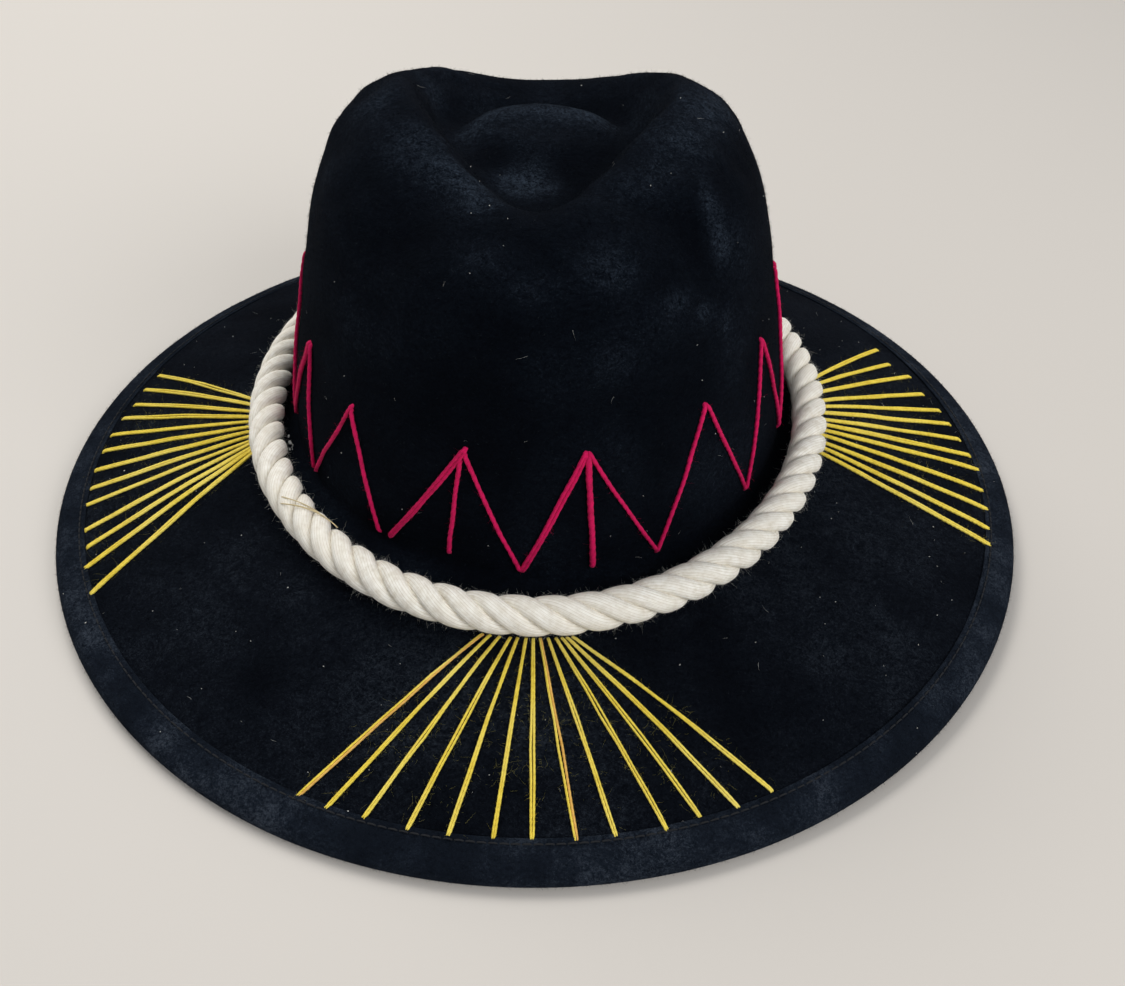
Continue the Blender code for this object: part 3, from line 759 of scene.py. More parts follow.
# nap value: random brushed tone, lighter where the crown is convex, plus the painted highlights and painted shade of
# the spots
crown_nap_and_painted_light = np.clip(0.07 + 0.13 * np.clip(BROAD(crown_outer), -0.4, 1) + 0.22 * conv
                          + painted_light_spots(crown_outer, CROWN_HIGHLIGHT_AND_SHADE_SPOTS), 0.0, 1.1)
set_nap(crown, crown_nap_and_painted_light.ravel())

# ===================================================================== brim
S_EDGE = 1 - 3.2 / 85.0
SS = np.concatenate([[-0.02], np.linspace(0.0, S_EDGE, 64)])
BC = 360
BDEG = np.arange(BC) * 360.0 / BC - 90.0
BRIM_WAVE = fourier_noise(11, 90.0)
BRIM_FINE = fourier_noise(12, 30.0)


def brim_wave(p, s):
    fade = np.clip(s / 0.3, 0, 1) * np.clip((S_EDGE - s) / 0.12, 0, 1)
    return fade * (0.45 * BRIM_WAVE(p) + 0.18 * BRIM_FINE(p))


def brim_skin(x, y):
    """Height of the brim's upper suede face, with its slight waves."""
    s, t = brim_params(x, y)
    z = brim_height(s, t)
    return z + brim_wave(np.stack([x, y, z], -1), s)


def brim_sheet(name, dz, thickness, mat, wave, *nodes, slot):
    x, y = brim_xy(SS[::-1, None], BDEG[None])
    z = brim_height(SS[::-1, None], BDEG[None]) + dz
    g = np.stack([x, y, z], -1)
    if wave:
        g[..., 2] += wave * brim_wave(g, np.broadcast_to(SS[::-1, None], g.shape[:2]))
    b = Bag()
    shell(b, g, thickness)
    obj = b.build(name, mat)
    set_nap(obj, np.clip(0.20 + 0.13 * BRIM_WAVE(g + 300) + 0.10 * BRIM_FINE(g + 90), 0.03, 1).ravel())
    return finish_piece(obj, *nodes, slot=slot)


brim_top = brim_sheet("brim_top_suede", 0.0, T_TOP, M_BRIM, 1.0, "brim_top_cover", slot="suede")
brim_low = brim_sheet("brim_under_suede", -(T_TOP + T_CORE + 2 * GAP) * 1.06, T_UNDER, M_UNDER, 0.0,
                      "brim_under_cover", slot="suede")

# binding: a U-shaped band with slight puckers along its stitch line
NB = 900
ADEG = np.arange(NB) * 360.0 / NB - 90.0
keys = [over_brim(BIND_WIDTH, ADEG, -UNDER - GAP - T_BIND), edge_point(5.6, ADEG, 0.0),
        edge_point(1.9, ADEG, 0.0), edge_point(0.25, ADEG, 1.3), edge_point(0.1, ADEG, 2.5),
        edge_point(0.6, ADEG, 3.9), over_brim(2.6, ADEG, GAP + T_BIND), over_brim(6.5, ADEG, GAP + T_BIND + 0.1),
        over_brim(8.9, ADEG, GAP + T_BIND - 0.12), over_brim(BIND_WIDTH, ADEG, GAP + T_BIND - 0.3)]
keys = np.stack(keys)
bind_rows = []
pad = np.concatenate([[2 * keys[0] - keys[1]], keys, [2 * keys[-1] - keys[-2]]])
for i in range(len(keys) - 1):
    p0, p1, p2, p3 = pad[i], pad[i + 1], pad[i + 2], pad[i + 3]
    steps = 5
    for j in range(steps):
        t = j / steps
        q = 0.5 * (2 * p1 + (p2 - p0) * t + (2 * p0 - 5 * p1 + 4 * p2 - p3) * t * t
                   + (3 * p1 - p0 - 3 * p2 + p3) * t ** 3)
        if i in (1,):
            q = p1 * (1 - t) + p2 * t
        bind_rows.append(q)
bind_rows.append(keys[-1])
bind = np.stack(bind_rows)
PUCKER = fourier_noise(21, 14.0)
amp = np.zeros(len(bind))
amp[-18:] = np.sin(np.linspace(0, math.pi, 18)) * 0.16
bind[..., 2] += amp[:, None] * PUCKER(bind)
bind[:, :, 2] = np.maximum(bind[:, :, 2], 0.0)
bag = Bag()
shell(bag, bind, T_BIND)
binding = finish_piece(bag.build("brim_edge_binding", M_BIND), "brim_binding", slot="binding")
set_nap(binding, np.clip(0.26 + 0.20 * BRIM_FINE(bind) + 0.12 * PUCKER(bind + 70), 0.05, 1).ravel())

# lockstitch on the binding: separate stitches with a short gap between them
def stitches(name, inward, dz_fn, radius, mat, node, pitch=3.0, sides=6):
    ring = np.arange(2400) * 360.0 / 2400 - 90.0
    p = dz_fn(inward, ring)
    d = np.concatenate([[0], np.cumsum(np.linalg.norm(np.diff(p, axis=0, append=p[:1]), axis=1))])
    total = d[-1]
    count = int(total / pitch)
    b = Bag()
    for i in range(count):
        a0, a1 = (i + 0.10) * total / count, (i + 0.90) * total / count
        s = np.linspace(a0, a1, 7)
        deg = np.interp(s, d, np.append(ring, 270.0))
        q = dz_fn(inward, deg)
        f = np.linspace(-1, 1, 7)
        q[:, 2] += (0.16 - 0.34 * f ** 4) * (1 if "under" not in name else -1)
        sweep(b, q, radius, sides, (0, 0, 1))
    return finish_piece(b.build(name, mat, uv=True), node, slot="black_thread")


def on_binding(inward, deg):
    return over_brim(inward, deg, GAP + T_BIND - 0.02)


def below_binding(inward, deg):
    a = over_brim(BIND_WIDTH, deg, -UNDER - GAP - T_BIND)
    b = edge_point(5.6, deg, 0.0)
    f = (BIND_WIDTH - inward) / (BIND_WIDTH - 5.6)
    return a + (b - a) * f


stitches("binding_top_stitches", BIND_WIDTH - 1.7, on_binding, 0.24, M_THREAD, "binding_needle_thread")
stitches("binding_under_stitches", BIND_WIDTH - 1.6, below_binding, 0.22, M_THREAD, "binding_bobbin_thread")

# ===================================================================== rope band
FINE = np.linspace(0, 2 * math.pi, 2881)
cp = rope_centre(FINE)
cl = np.concatenate([[0], np.cumsum(np.linalg.norm(np.diff(cp, axis=0), axis=1))])
ROPE_LEN = cl[-1]


def rope_at(f):
    """Centre, outward and upward directions at fractions f of the rope's length."""
    a = np.interp(np.mod(f, 1.0) * ROPE_LEN, cl, FINE)
    p = rope_centre(a)
    d = unit(rope_centre(a + 1e-3) - rope_centre(a - 1e-3))
    out = unit(np.cross(d, np.array([0, 0, 1.0])))
    return p, d, out, np.cross(out, d)


ROPE_STEPS = 44
M_ROPE_ROWS = ROPE_TURNS * ROPE_STEPS
TH = 96
YARNS = 20
fr = np.arange(M_ROPE_ROWS) / M_ROPE_ROWS
P, D, OUT, UP = rope_at(fr)
strand_surface = []
loose = fourier_noise(31, 60.0)
for strand in range(3):
    wph = 2 * math.pi * (ROPE_TURNS * fr + strand / 3.0)
    rad = OUT * np.cos(wph)[:, None] - UP * np.sin(wph)[:, None]
    c = P + rad * (ROPE_HELIX_R + 0.10 * loose(P + strand * 37.0))[:, None]
    t = unit(np.roll(c, -1, 0) - np.roll(c, 1, 0))
    side = unit(np.cross(t, rad))
    radp = np.cross(side, t)
    seg = np.linalg.norm(np.roll(c, -1, 0) - c, axis=1)
    L = np.concatenate([[0], np.cumsum(seg)])
    total = L[-1]
    L = L[:-1]
    turns = round(0.115 * total / (2 * math.pi))
    th = np.arange(TH) * 2 * math.pi / TH
    lines = th[None] + 2 * math.pi * turns * (L / total)[:, None]
    # each strand is a bundle of yarns; grooves run between them
    groove = np.abs(np.sin(lines * YARNS / 2.0))
    second = np.sin(lines * YARNS * 1.5 + 3.0 * np.sin(L / 23.0)[:, None])
    # pressed against its neighbours: wide and flat along the rope, less deep outward
    fat, deep, power = 3.02, 2.52, 2.35
    oval = (np.abs(np.cos(th) / deep) ** power + np.abs(np.sin(th) / fat) ** power) ** (-1 / power)
    r = oval[None] * (0.955 + 0.055 * groove ** 0.6 + 0.006 * second)
    r = r * (1 - 0.12 * np.clip(-np.cos(th), 0, 1)[None] ** 2)
    r = r * (1 + 0.018 * loose(c * 3.0 + 11.0))[:, None]
    ring = c[:, None] + r[..., None] * (np.cos(th)[None, :, None] * radp[:, None]
                                        + np.sin(th)[None, :, None] * side[:, None])
    uv = np.stack([np.broadcast_to((L / 10.0)[:, None], lines.shape), lines / (2 * math.pi)], -1)
    faces = grid_faces(M_ROPE_ROWS, TH, flip=True)
    j = np.arange(TH)
    k = (j + 1) % TH
    last = (M_ROPE_ROWS - 1) * TH
    faces = np.vstack([faces, np.stack([last + k, last + j, j, k], -1)])
    v = ring.reshape(-1, 3)
    # winding test: face normal must point away from the strand centre
    f0 = faces[0]
    nrm = np.cross(v[f0[1]] - v[f0[0]], v[f0[2]] - v[f0[0]])
    if np.dot(nrm, v[f0[0]] - c[0]) < 0:
        faces = faces[:, ::-1]
    bag = Bag()
    bag.add(v, faces, uv.reshape(-1, 2))
    finish_piece(bag.build(f"rope_cotton_strand_{strand + 1}", M_ROPE, uv=True), f"rope_strand_{strand + 1}", slot="rope")
    strand_surface.append((ring, c))

# cotton fuzz on the rope
roots, norms = [], []
r = np.random.default_rng(5)
for ring, c in strand_surface:
    i = r.integers(0, M_ROPE_ROWS, 2300)
    j = r.integers(0, TH, 2300)
    p = ring[i, j]
    n = unit(p - c[i])
    keep = (n * unit(p - P[i])).sum(1) > 0.2
    roots.append(p[keep] - n[keep] * 0.05)
    norms.append(n[keep])
bag = Bag()
hairs(bag, np.vstack(roots), np.vstack(norms), 2.3, 0.017, 51, lean=1.6, curl=1.3)
finish_piece(bag.build("rope_cotton_fuzz", M_FUZZ_W, uv=True), slot="rope")
roots, norms = [], []
for ring, c in strand_surface:
    i = r.integers(0, M_ROPE_ROWS, 7000)
    j = r.integers(0, TH, 7000)
    p = ring[i, j]
    n = unit(p - c[i])
    keep = (n * unit(p - P[i])).sum(1) > 0.1
    roots.append(p[keep] - n[keep] * 0.05)
    norms.append(n[keep])
bag = Bag()
hairs(bag, np.vstack(roots)[:17000], np.vstack(norms)[:17000], 1.5, 0.019, 52, lean=1.6, curl=1.9, segs=2)
finish_piece(bag.build("rope_short_fuzz", M_FUZZ_W, uv=True), slot="rope")

# ===================================================================== yarn work
def plan_to_flange(a, b, out):
    """Where the line from a through b meets the flange's outer edge, moved out by out."""
    low, high = 0.6, 3.0
    for _ in range(40):
        f = (low + high) / 2
        q = a + (b - a) * f
        e = (q[0] / (ROPE_A + CROWN_FLANGE + out)) ** 2 + ((q[1] - ROPE_CY) / (ROPE_B + CROWN_FLANGE + out)) ** 2
        if e > 1:
            low = f
        else:
            high = f
    return a + (b - a) * low


# Needle holes of each fan: (share of the brim's width, angle) outside, angle at the rope.
FANS = {
    "front": [(0.900, -112.6, -97.2), (0.905, -109.4, -96.0), (0.900, -105.5, -94.5), (0.900, -101.0, -92.8),
              (0.897, -97.0, -91.7), (0.896, -92.7, -90.4), (0.895, -89.0, -89.3), (0.899, -84.8, -88.2),
              (0.898, -81.0, -87.0), (0.900, -76.1, -85.8), (0.884, -72.6, -84.9), (0.893, -68.6, -84.1),
              (0.878, -64.7, -83.2)],
    "left": [(0.835, 166.8, 181.4), (0.848, 170.2, 183.0), (0.842, 173.9, 185.0), (0.858, 176.8, 186.6),
             (0.872, 180.3, 188.1), (0.875, 183.6, 189.7), (0.885, 187.2, 191.2), (0.881, 190.7, 192.7),
             (0.896, 193.7, 194.2), (0.890, 198.4, 195.2), (0.878, 201.5, 196.4), (0.901, 204.9, 197.4),
             (0.897, 209.3, 198.6)],
    "right": [(0.781, 24.1, 9.1), (0.760, 19.8, 7.2), (0.826, 17.2, 4.5), (0.812, 12.4, 1.8),
              (0.843, 8.7, -0.1), (0.852, 5.6, -2.0), (0.861, 2.3, -4.2), (0.878, -0.9, -5.8),
              (0.900, -3.5, -7.6), (0.894, -7.7, -9.3), (0.903, -11.1, -11.5), (0.905, -14.7, -13.2),
              (0.912, -17.5, -15.0)],
    "back": [(0.893 + 0.010 * math.sin(2.3 * i), 112.4 - 3.83 * i + 0.6 * math.sin(1.7 * i),
              96.9 - 1.15 * i) for i in range(13)],
}
YARN_R = 0.46
FAN_THICK = {"front": 0.82, "left": 1.04, "right": 1.14, "back": 0.95}
yrng = np.random.default_rng(77)
fan_paths = {}
for key, holes in FANS.items():
    b_main, b_warm = Bag(), Bag()
    fan_paths[key] = []
    for i, (s_out, t_out, t_in) in enumerate(holes):
        a = np.array(brim_xy(s_out, t_out))
        b = np.array(brim_xy(0.225, t_in))
        b = plan_to_flange(a, b, 0.15)
        d = (a - b) / np.linalg.norm(a - b)
        nrm = np.array([-d[1], d[0]])
        warm = key == "front" and i in (0, 7)
        for strand in (-1, 1):
            f = np.linspace(0, 1, 90)
            gapw = FAN_THICK[key] * (0.20 + 0.20 * f + 0.14 * np.sin(f * math.pi) * yrng.uniform(0.0, 2.0))
            gapw = gapw * np.clip((1 - f) / 0.05, 0.85, 1)
            wander = 0.10 * np.interp(f, np.linspace(0, 1, 8), yrng.normal(0, 1, 8)) * np.sin(f * math.pi)
            q = b[None] + (a - b)[None] * f[:, None] + nrm[None] * (strand * gapw + wander)[:, None]
            z = brim_skin(q[:, 0], q[:, 1]) + YARN_R * 0.92
            # the outer end turns down into its needle hole, the inner one runs on under the rope
            length = np.linalg.norm(a - b)
            for u, drop in ((f * length, 0.3), ((1 - f) * length, 1.9)):
                z -= drop * np.clip(1 - u / 1.1, 0, 1) ** 1.6
            path = np.column_stack([q, z])
            use = b_warm if warm and strand == 1 else b_main
            yarn(use, path, (0, 0, 1), plies=2, radius=YARN_R * FAN_THICK[key] * yrng.uniform(0.92, 1.08), pitch=3.3,
                 phase=yrng.uniform(0, 6), sides=6, wobble=0.05, seed=int(yrng.integers(1 << 30)))
            fan_paths[key].append(path)
    finish_piece(b_main.build(f"fan_stitches_{key}", M_YELLOW, uv=True), f"fan_yarn_{key}", slot="yellow_yarn")
    if b_warm.n:
        finish_piece(b_warm.build(f"fan_stitches_{key}_orange", M_YELLOW_WARM, uv=True), slot="yellow_yarn")

# loose yellow fibres: short ones on the yarns, long wisps that lie on the suede beside them
roots, norms, wisp_r, wisp_n = [], [], [], []
for key, paths in fan_paths.items():
    for path in paths:
        for _ in range(46):
            i = yrng.integers(2, len(path) - 2)
            n = unit(np.array([*yrng.normal(0, 1.0, 2), abs(yrng.normal(0, 0.8)) + 0.05]))
            roots.append(path[i] + n * YARN_R * 0.8)
            norms.append(n)
        knots = yrng.uniform(0.35, 0.95, 2)
        for w in range(44):
            share = knots[w % 2] + yrng.normal(0, 0.03) if w < 30 else yrng.uniform(0.15, 0.99)
            i = int(len(path) * min(max(share, 0.05), 0.99))
            q = path[min(i, len(path) - 1), :2] + yrng.normal(0, 1.5, 2)
            wisp_r.append([*q, float(brim_skin(q[0], q[1])) + 0.12])
            wisp_n.append(unit(np.array([*yrng.normal(0, 1, 2), 0.18])))
bag = Bag()
hairs(bag, np.array(roots), np.array(norms), 1.5, 0.014, 61, lean=0.9, curl=1.1, segs=3)
finish_piece(bag.build("fan_yarn_fuzz", M_YELLOW, uv=True), slot="yellow_yarn")
bag = Bag()
hairs(bag, np.array(wisp_r), np.array(wisp_n), 2.6, 0.015, 62, lean=0.5, curl=1.7, segs=5)
finish_piece(bag.build("fan_yarn_wisps", M_WISP, uv=True), slot="yellow_yarn")


def crown_skin(deg, h, out):
    """Points on the shaped crown wall, lifted off along its level normal."""
    p = np.array([crown_wall(d, v) for d, v in zip(deg, h)])
    n = np.stack([np.cos(np.radians(deg)) / FOOT_A, np.sin(np.radians(deg)) / FOOT_B, np.full(len(p), 0.0021)], -1)
    n = unit(n)
    return p + n * (crown_wave(p) + out)[:, None], n


# Legs of the zigzag: two needle holes as (angle, height over the foot), strands in the leg.
LEGS_FRONT = [((239.2, 1.9), (257.0, 42.4), 2), ((256.4, 40.5), (268.1, 1.7), 1), ((268.0, 1.5), (281.0, 42.8), 2),
              ((281.3, 42.6), (296.2, 2.2), 1), ((296.0, 1.4), (308.0, 46.8), 1), ((308.2, 46.4), (322.0, 3.6), 1),
              ((322.0, 3.2), (330.0, 52.0), 1), ((330.2, 51.6), (343.0, 5.6), 1), ((342.8, 5.0), (353.5, 57.0), 1)]
LEGS_LEFT = [((183.5, 57.0), (195.3, 7.0), 1), ((195.6, 5.6), (208.6, 46.4), 2), ((209.0, 46.0), (213.0, 2.9), 1),
             ((213.6, 2.7), (229.2, 41.8), 1), ((228.7, 40.6), (236.9, 1.8), 1)]
back_holes = [(-2, 55), (9, 4), (20, 52), (33, 4), (46, 47), (60, 4), (74, 44), (87, 4),
              (100, 44), (113, 4), (127, 47), (140, 4), (153, 52), (165, 4), (178.5, 55)]
LEGS_BACK = [(back_holes[i], back_holes[i + 1], 2 if i % 4 == 1 else 1) for i in range(14)]
magenta_paths = []


def leg(bag, h0, h1, strands, radius=0.72):
    n = 70
    f = np.linspace(0, 1, n)
    deg = h0[0] + (h1[0] - h0[0]) * f
    h = h0[1] + (h1[1] - h0[1]) * f
    base, nrm = crown_skin(deg, h, radius * 0.9)
    length = np.concatenate([[0], np.cumsum(np.linalg.norm(np.diff(base, axis=0), axis=1))])
    t = unit(np.gradient(base, axis=0))
    side = unit(np.cross(nrm, t))
    for k in range(strands):
        off = 0.0 if strands == 1 else (k - 0.5) * 0.92
        r = radius if strands == 1 else radius * 0.90
        sway = 0.14 * np.interp(f, np.linspace(0, 1, 7), yrng.normal(0, 1, 7)) * np.sin(f * math.pi)
        p = base + side * (off * np.clip(np.minimum(f, 1 - f) / 0.05, 0.35, 1) + sway)[:, None]
        dive = np.zeros(n)
        for u in (length, length[-1] - length):
            dive -= 2.2 * np.clip(1 - u / 1.3, 0, 1) ** 1.6
        p = p + nrm * dive[:, None]
        yarn(bag, p, nrm, plies=2, radius=r * yrng.uniform(0.96, 1.04), pitch=5.2, phase=yrng.uniform(0, 6),
             sides=8, wobble=0.05, seed=int(yrng.integers(1 << 30)))
        magenta_paths.append((p, nrm))


for name, legs_of, node in (("zigzag_stitches_left", LEGS_LEFT, "zigzag_left"),
                            ("zigzag_stitches_front", LEGS_FRONT, "zigzag_front"),
                            ("zigzag_stitches_back", LEGS_BACK, "zigzag_back")):
    bag = Bag()
    for h0, h1, strands in legs_of:
        leg(bag, h0, h1, strands)
    finish_piece(bag.build(name, M_MAGENTA, uv=True), node, slot="magenta_yarn")
for name, h0, h1, node in (("upright_stitch_left", (255.7, 38.4), (253.3, 4.4), "upright_left"),
                           ("upright_stitch_right", (281.2, 41.6), (282.3, 2.3), "upright_right")):
    bag = Bag()
    leg(bag, h0, h1, 1, 0.98 if name.endswith("right") else 0.78)
    finish_piece(bag.build(name, M_MAGENTA, uv=True), node, slot="magenta_yarn")
roots, norms = [], []
for p, n in magenta_paths:
    i = yrng.integers(2, len(p) - 2, 60)
    m = unit(n[i] * 0.7 + yrng.normal(0, 0.8, (60, 3)))
    m = np.where((m * n[i]).sum(1, keepdims=True) < 0.1, m + n[i] * 0.8, m)
    roots.append(p[i] + unit(m) * 0.6)
    norms.append(unit(m))
bag = Bag()
hairs(bag, np.vstack(roots), np.vstack(norms), 1.7, 0.018, 71, lean=1.0, curl=1.1, segs=3)
finish_piece(bag.build("zigzag_fuzz", M_MAGENTA, uv=True), slot="magenta_yarn")

# ===================================================================== tack thread and glue
bag = Bag()
for k, (f0, f1, w0, w1, lift) in enumerate(((0.6095, 0.6405, 0.20, 0.86, 0.35), (0.6115, 0.6360, 0.24, 0.78, 0.55),
                                           (0.6075, 0.6290, 0.30, 0.70, 0.20))):
    f = np.linspace(0, 1, 40)
    c, d, out, up = rope_at(f0 + (f1 - f0) * f)
    w = math.pi * (w0 + (w1 - w0) * f)
    r = ROPE_HELIX_R + STRAND_R - 0.15 + lift * np.sin(f * math.pi)
    r = r - 1.4 * np.clip(1 - f / 0.10, 0, 1)
    p = c + (out * np.cos(w)[:, None] + up * np.sin(w)[:, None]) * r[:, None]
    sweep(bag, p, 0.17, 6, up)
finish_piece(bag.build("rope_tack_stitch", M_TACK, uv=True), "rope_tack_thread", slot="tack_thread")

# hot glue: an uneven bead below the rope, smears and drips on the crown's flange inside it
bag = Bag()
f = np.arange(900) / 900.0
c, d, out, up = rope_at(f)
gl = fourier_noise(41, 16.0)
q = c - out * (1.35 + 0.35 * gl(c))[:, None]
z = brim_z(q[:, 0], q[:, 1]) + GAP + T_CROWN + GAP + 0.22
rr = 0.34 + 0.07 * gl(c + 50)
path = np.column_stack([q[:, :2], z])
sweep(bag, path, rr, 10, (0, 0, 1), closed=True)
finish_piece(bag.build("rope_glue_line", M_GLUE), "rope_glue_bead", slot="glue")


def flange_skin(x, y):
    return brim_z(x, y) + GAP + T_CROWN


def blob(bag, x, y, a, b, turn, height, seed):
    """A smear of glue: a flat uneven dome that lies on the flange."""
    wob = fourier_noise(seed, 3.2)
    rows_, cols_ = 7, 26
    th = np.arange(cols_) * 2 * math.pi / cols_
    ring = []
    for i in range(rows_):
        ph = (i + 0.15) / rows_ * math.pi / 2
        k = math.cos(ph)
        px = a * k * np.cos(th)
        py = b * k * np.sin(th)
        edge = 1 + 0.30 * wob(np.stack([px, py, np.full(cols_, seed * 1.0)], -1))
        px, py = px * edge, py * edge
        gx = x + px * math.cos(turn) - py * math.sin(turn)
        gy = y + px * math.sin(turn) + py * math.cos(turn)
        gz = flange_skin(gx, gy) + height * math.sin(ph) * (1 + 0.3 * wob(np.stack([gx, gy, gx * 0], -1)))
        ring.append(np.stack([gx, gy, gz], -1))
    g = np.stack(ring)
    low = g[0].copy()
    low[:, 2] -= 0.25
    g = np.concatenate([low[None], g])
    base = bag.n
    n_r, n_c = g.shape[:2]
    bag.add(g.reshape(-1, 3), grid_faces(n_r, n_c))
    j = np.arange(n_c)
    k = (j + 1) % n_c
    for at, flip in ((0, True), ((n_r - 1) * n_c, False)):
        ringp = g[0] if flip else g[-1]
        cpt = ringp.mean(0)
        tri = np.stack([at + j + base, at + k + base, np.full(n_c, bag.n)], -1)
        if flip:
            tri = tri[:, [1, 0, 2]]
        bag.v.append(cpt[None])
        bag.uv.append(np.zeros((1, 2)))
        bag.f.append(np.hstack([tri, np.full((n_c, 1), -1)]))
        bag.n += 1


grng = np.random.default_rng(91)
bag = Bag()


def inside_rope(deg, inset):
    c_, n_ = math.cos(math.radians(deg)), math.sin(math.radians(deg))
    return (ROPE_A - inset) * c_, ROPE_CY + (ROPE_B - inset) * n_


# (angle round the rope, distance inside its centreline, half length, half width, height)
for deg, inset, a, b, h in ((-66.0, 6.6, 2.0, 0.8, 0.7), (-71.0, 6.8, 3.2, 0.7, 0.5), (-69.0, 6.2, 1.6, 0.5, 0.4),
                            (-75.5, 6.5, 1.5, 0.4, 0.35), (-85.0, 6.3, 0.7, 0.4, 0.4), (-94.0, 6.5, 0.6, 0.4, 0.4),
                            (194.6, 6.7, 0.9, 0.4, 0.5), (196.6, 7.0, 1.4, 0.5, 0.5), (198.6, 6.7, 0.7, 0.3, 0.4),
                            (-112.0, 6.8, 2.2, 0.5, 0.4), (-106.0, 6.4, 1.1, 0.5, 0.5), (-52.0, 6.8, 0.6, 0.4, 0.4),
                            (-25.0, 6.6, 0.7, 0.4, 0.4), (40.0, 6.7, 1.6, 0.5, 0.4), (88.0, 6.8, 2.2, 0.6, 0.5),
                            (131.0, 6.7, 1.3, 0.5, 0.4)):
    x, y = inside_rope(deg, inset)
    blob(bag, x, y, a, b, math.radians(deg + 90) + grng.normal(0, 0.2), h, int(grng.integers(1, 900)))
for deg, inset in ((-64, 7.4), (-67, 6.0), (-72, 7.2), (-78, 7.0), (196, 7.3), (-110, 7.6), (-104, 7.0),
                   (-56, 7.2), (86, 7.4), (134, 7.0)):
    n = 22
    dd = deg + np.linspace(0, grng.uniform(2.0, 5.0), n)
    ii = inset + 0.5 * np.cumsum(grng.normal(0, 0.22, n))
    x = (ROPE_A - ii) * np.cos(np.radians(dd))
    y = ROPE_CY + (ROPE_B - ii) * np.sin(np.radians(dd))
    z = flange_skin(x, y) + 0.10 + 0.25 * np.abs(np.sin(np.linspace(0, 3.1, n)))
    sweep(bag, np.column_stack([x, y, z]), 0.09, 5, (0, 0, 1))
finish_piece(bag.build("glue_smears", M_GLUE), slot="glue")

# ===================================================================== inside of the hat
# sweatband: a ribbed cloth band, its free upper edge slightly wavy
SW_COLS = 1200
sdeg = np.arange(SW_COLS) * 360.0 / SW_COLS - 90.0
sw_wave = fourier_noise(55, 45.0)


def sweat_ring(h, out):
    hh = max(0.0, h + FOOT_TOP - CROWN_FOOT)
    rows_ = []
    for d in sdeg:
        rows_.append(crown_wall(d, hh, out - 4.5))
    g = np.array(rows_)
    g[:, 2] = FOOT_TOP + h
    return g


ring_low, ring_top = sweat_ring(0.0, 0.0), sweat_ring(32.0, 0.0)
srows = []
for i, h in enumerate(np.concatenate([[-1.5, -1.2], np.linspace(-0.6, 31.2, 26), [31.8, 32.0]])):
    k = np.clip(h / 32.0, 0, 1)
    g = ring_low * (1 - k) + ring_top * k
    g[:, 2] = FOOT_TOP + h
    n = np.stack([np.cos(np.radians(sdeg)), np.sin(np.radians(sdeg)), 0 * sdeg], -1)
    amp = 0.45 * k
    rib = 0.09 * np.cos(h / 32.0 * 2 * math.pi * 12)
    g = g + n * ((sw_wave(g) * amp - 0.2 * amp) + rib)[:, None]
    if i in (0, len(np.linspace(-0.6, 31.2, 26)) + 3):
        g = g - n * 0.25
    srows.append(g)
bag = Bag()
shell(bag, np.stack(srows), 1.1)
sweat = finish_piece(bag.build("sweatband_cloth", M_SWEAT), "sweatband", slot="sweatband")

# seam that holds the sweatband: slanting stitches along its lower edge
bag = Bag()
for i in range(210):
    a0 = 360.0 * i / 210
    for da, h0, h1 in ((0.0, 0.3, 3.0), (0.86, 3.0, 0.3)):
        pts = []
        for q in np.linspace(0, 1, 6):
            hh = h0 + (h1 - h0) * q
            p = crown_wall(a0 + da + 0.86 * q, max(0.0, hh + FOOT_TOP - CROWN_FOOT), -4.5 - 1.1)
            c_, n_ = math.cos(math.radians(a0 + da)), math.sin(math.radians(a0 + da))
            lift = 0.14 + 0.16 * math.sin(q * math.pi)
            pts.append([p[0] - c_ * lift, p[1] - n_ * lift, FOOT_TOP + hh])
        sweep(bag, np.array(pts), 0.16, 5, (0, 0, 1))
finish_piece(bag.build("sweatband_seam_stitches", M_THREAD, uv=True), "sweatband_thread", slot="black_thread")

# lining: satin that follows the crown inside, gathered a little above the sweatband
LC = 480
ldeg = np.arange(LC) * 360.0 / LC - 90.0
kk = np.concatenate([np.linspace(0.15, 4.0, 26), np.linspace(4.1, 9.5, 40)])
base = crown_grid(ldeg, kk)
ln = grid_normals(base)
drop = np.interp(kk, [0, 3.0, 4.4, 6.0, 10], [2.3, 2.4, 3.0, 3.6, 4.0])
gather = np.cos(np.radians(ldeg) * 64)[None] * 0.28 * np.interp(kk, [0.15, 2.0, 3.4, 4.2], [1.0, 0.8, 0.3, 0.0])[:, None]
soft = fourier_noise(57, 24.0)
lin = base - ln * (drop[:, None] + 0.30 + gather * 0.8 + 0.25 * soft(base))[..., None]
# a sewn seam where the side strip meets the tip panel
seam_k = np.exp(-((kk - 4.25) / 0.09) ** 2)
lin = lin - ln * (0.5 * seam_k)[:, None, None]
bag = Bag()
shell(bag, lin, 0.35, pole=True)
lining = finish_piece(bag.build("crown_lining_satin", M_LINING), "crown_lining", slot="lining")

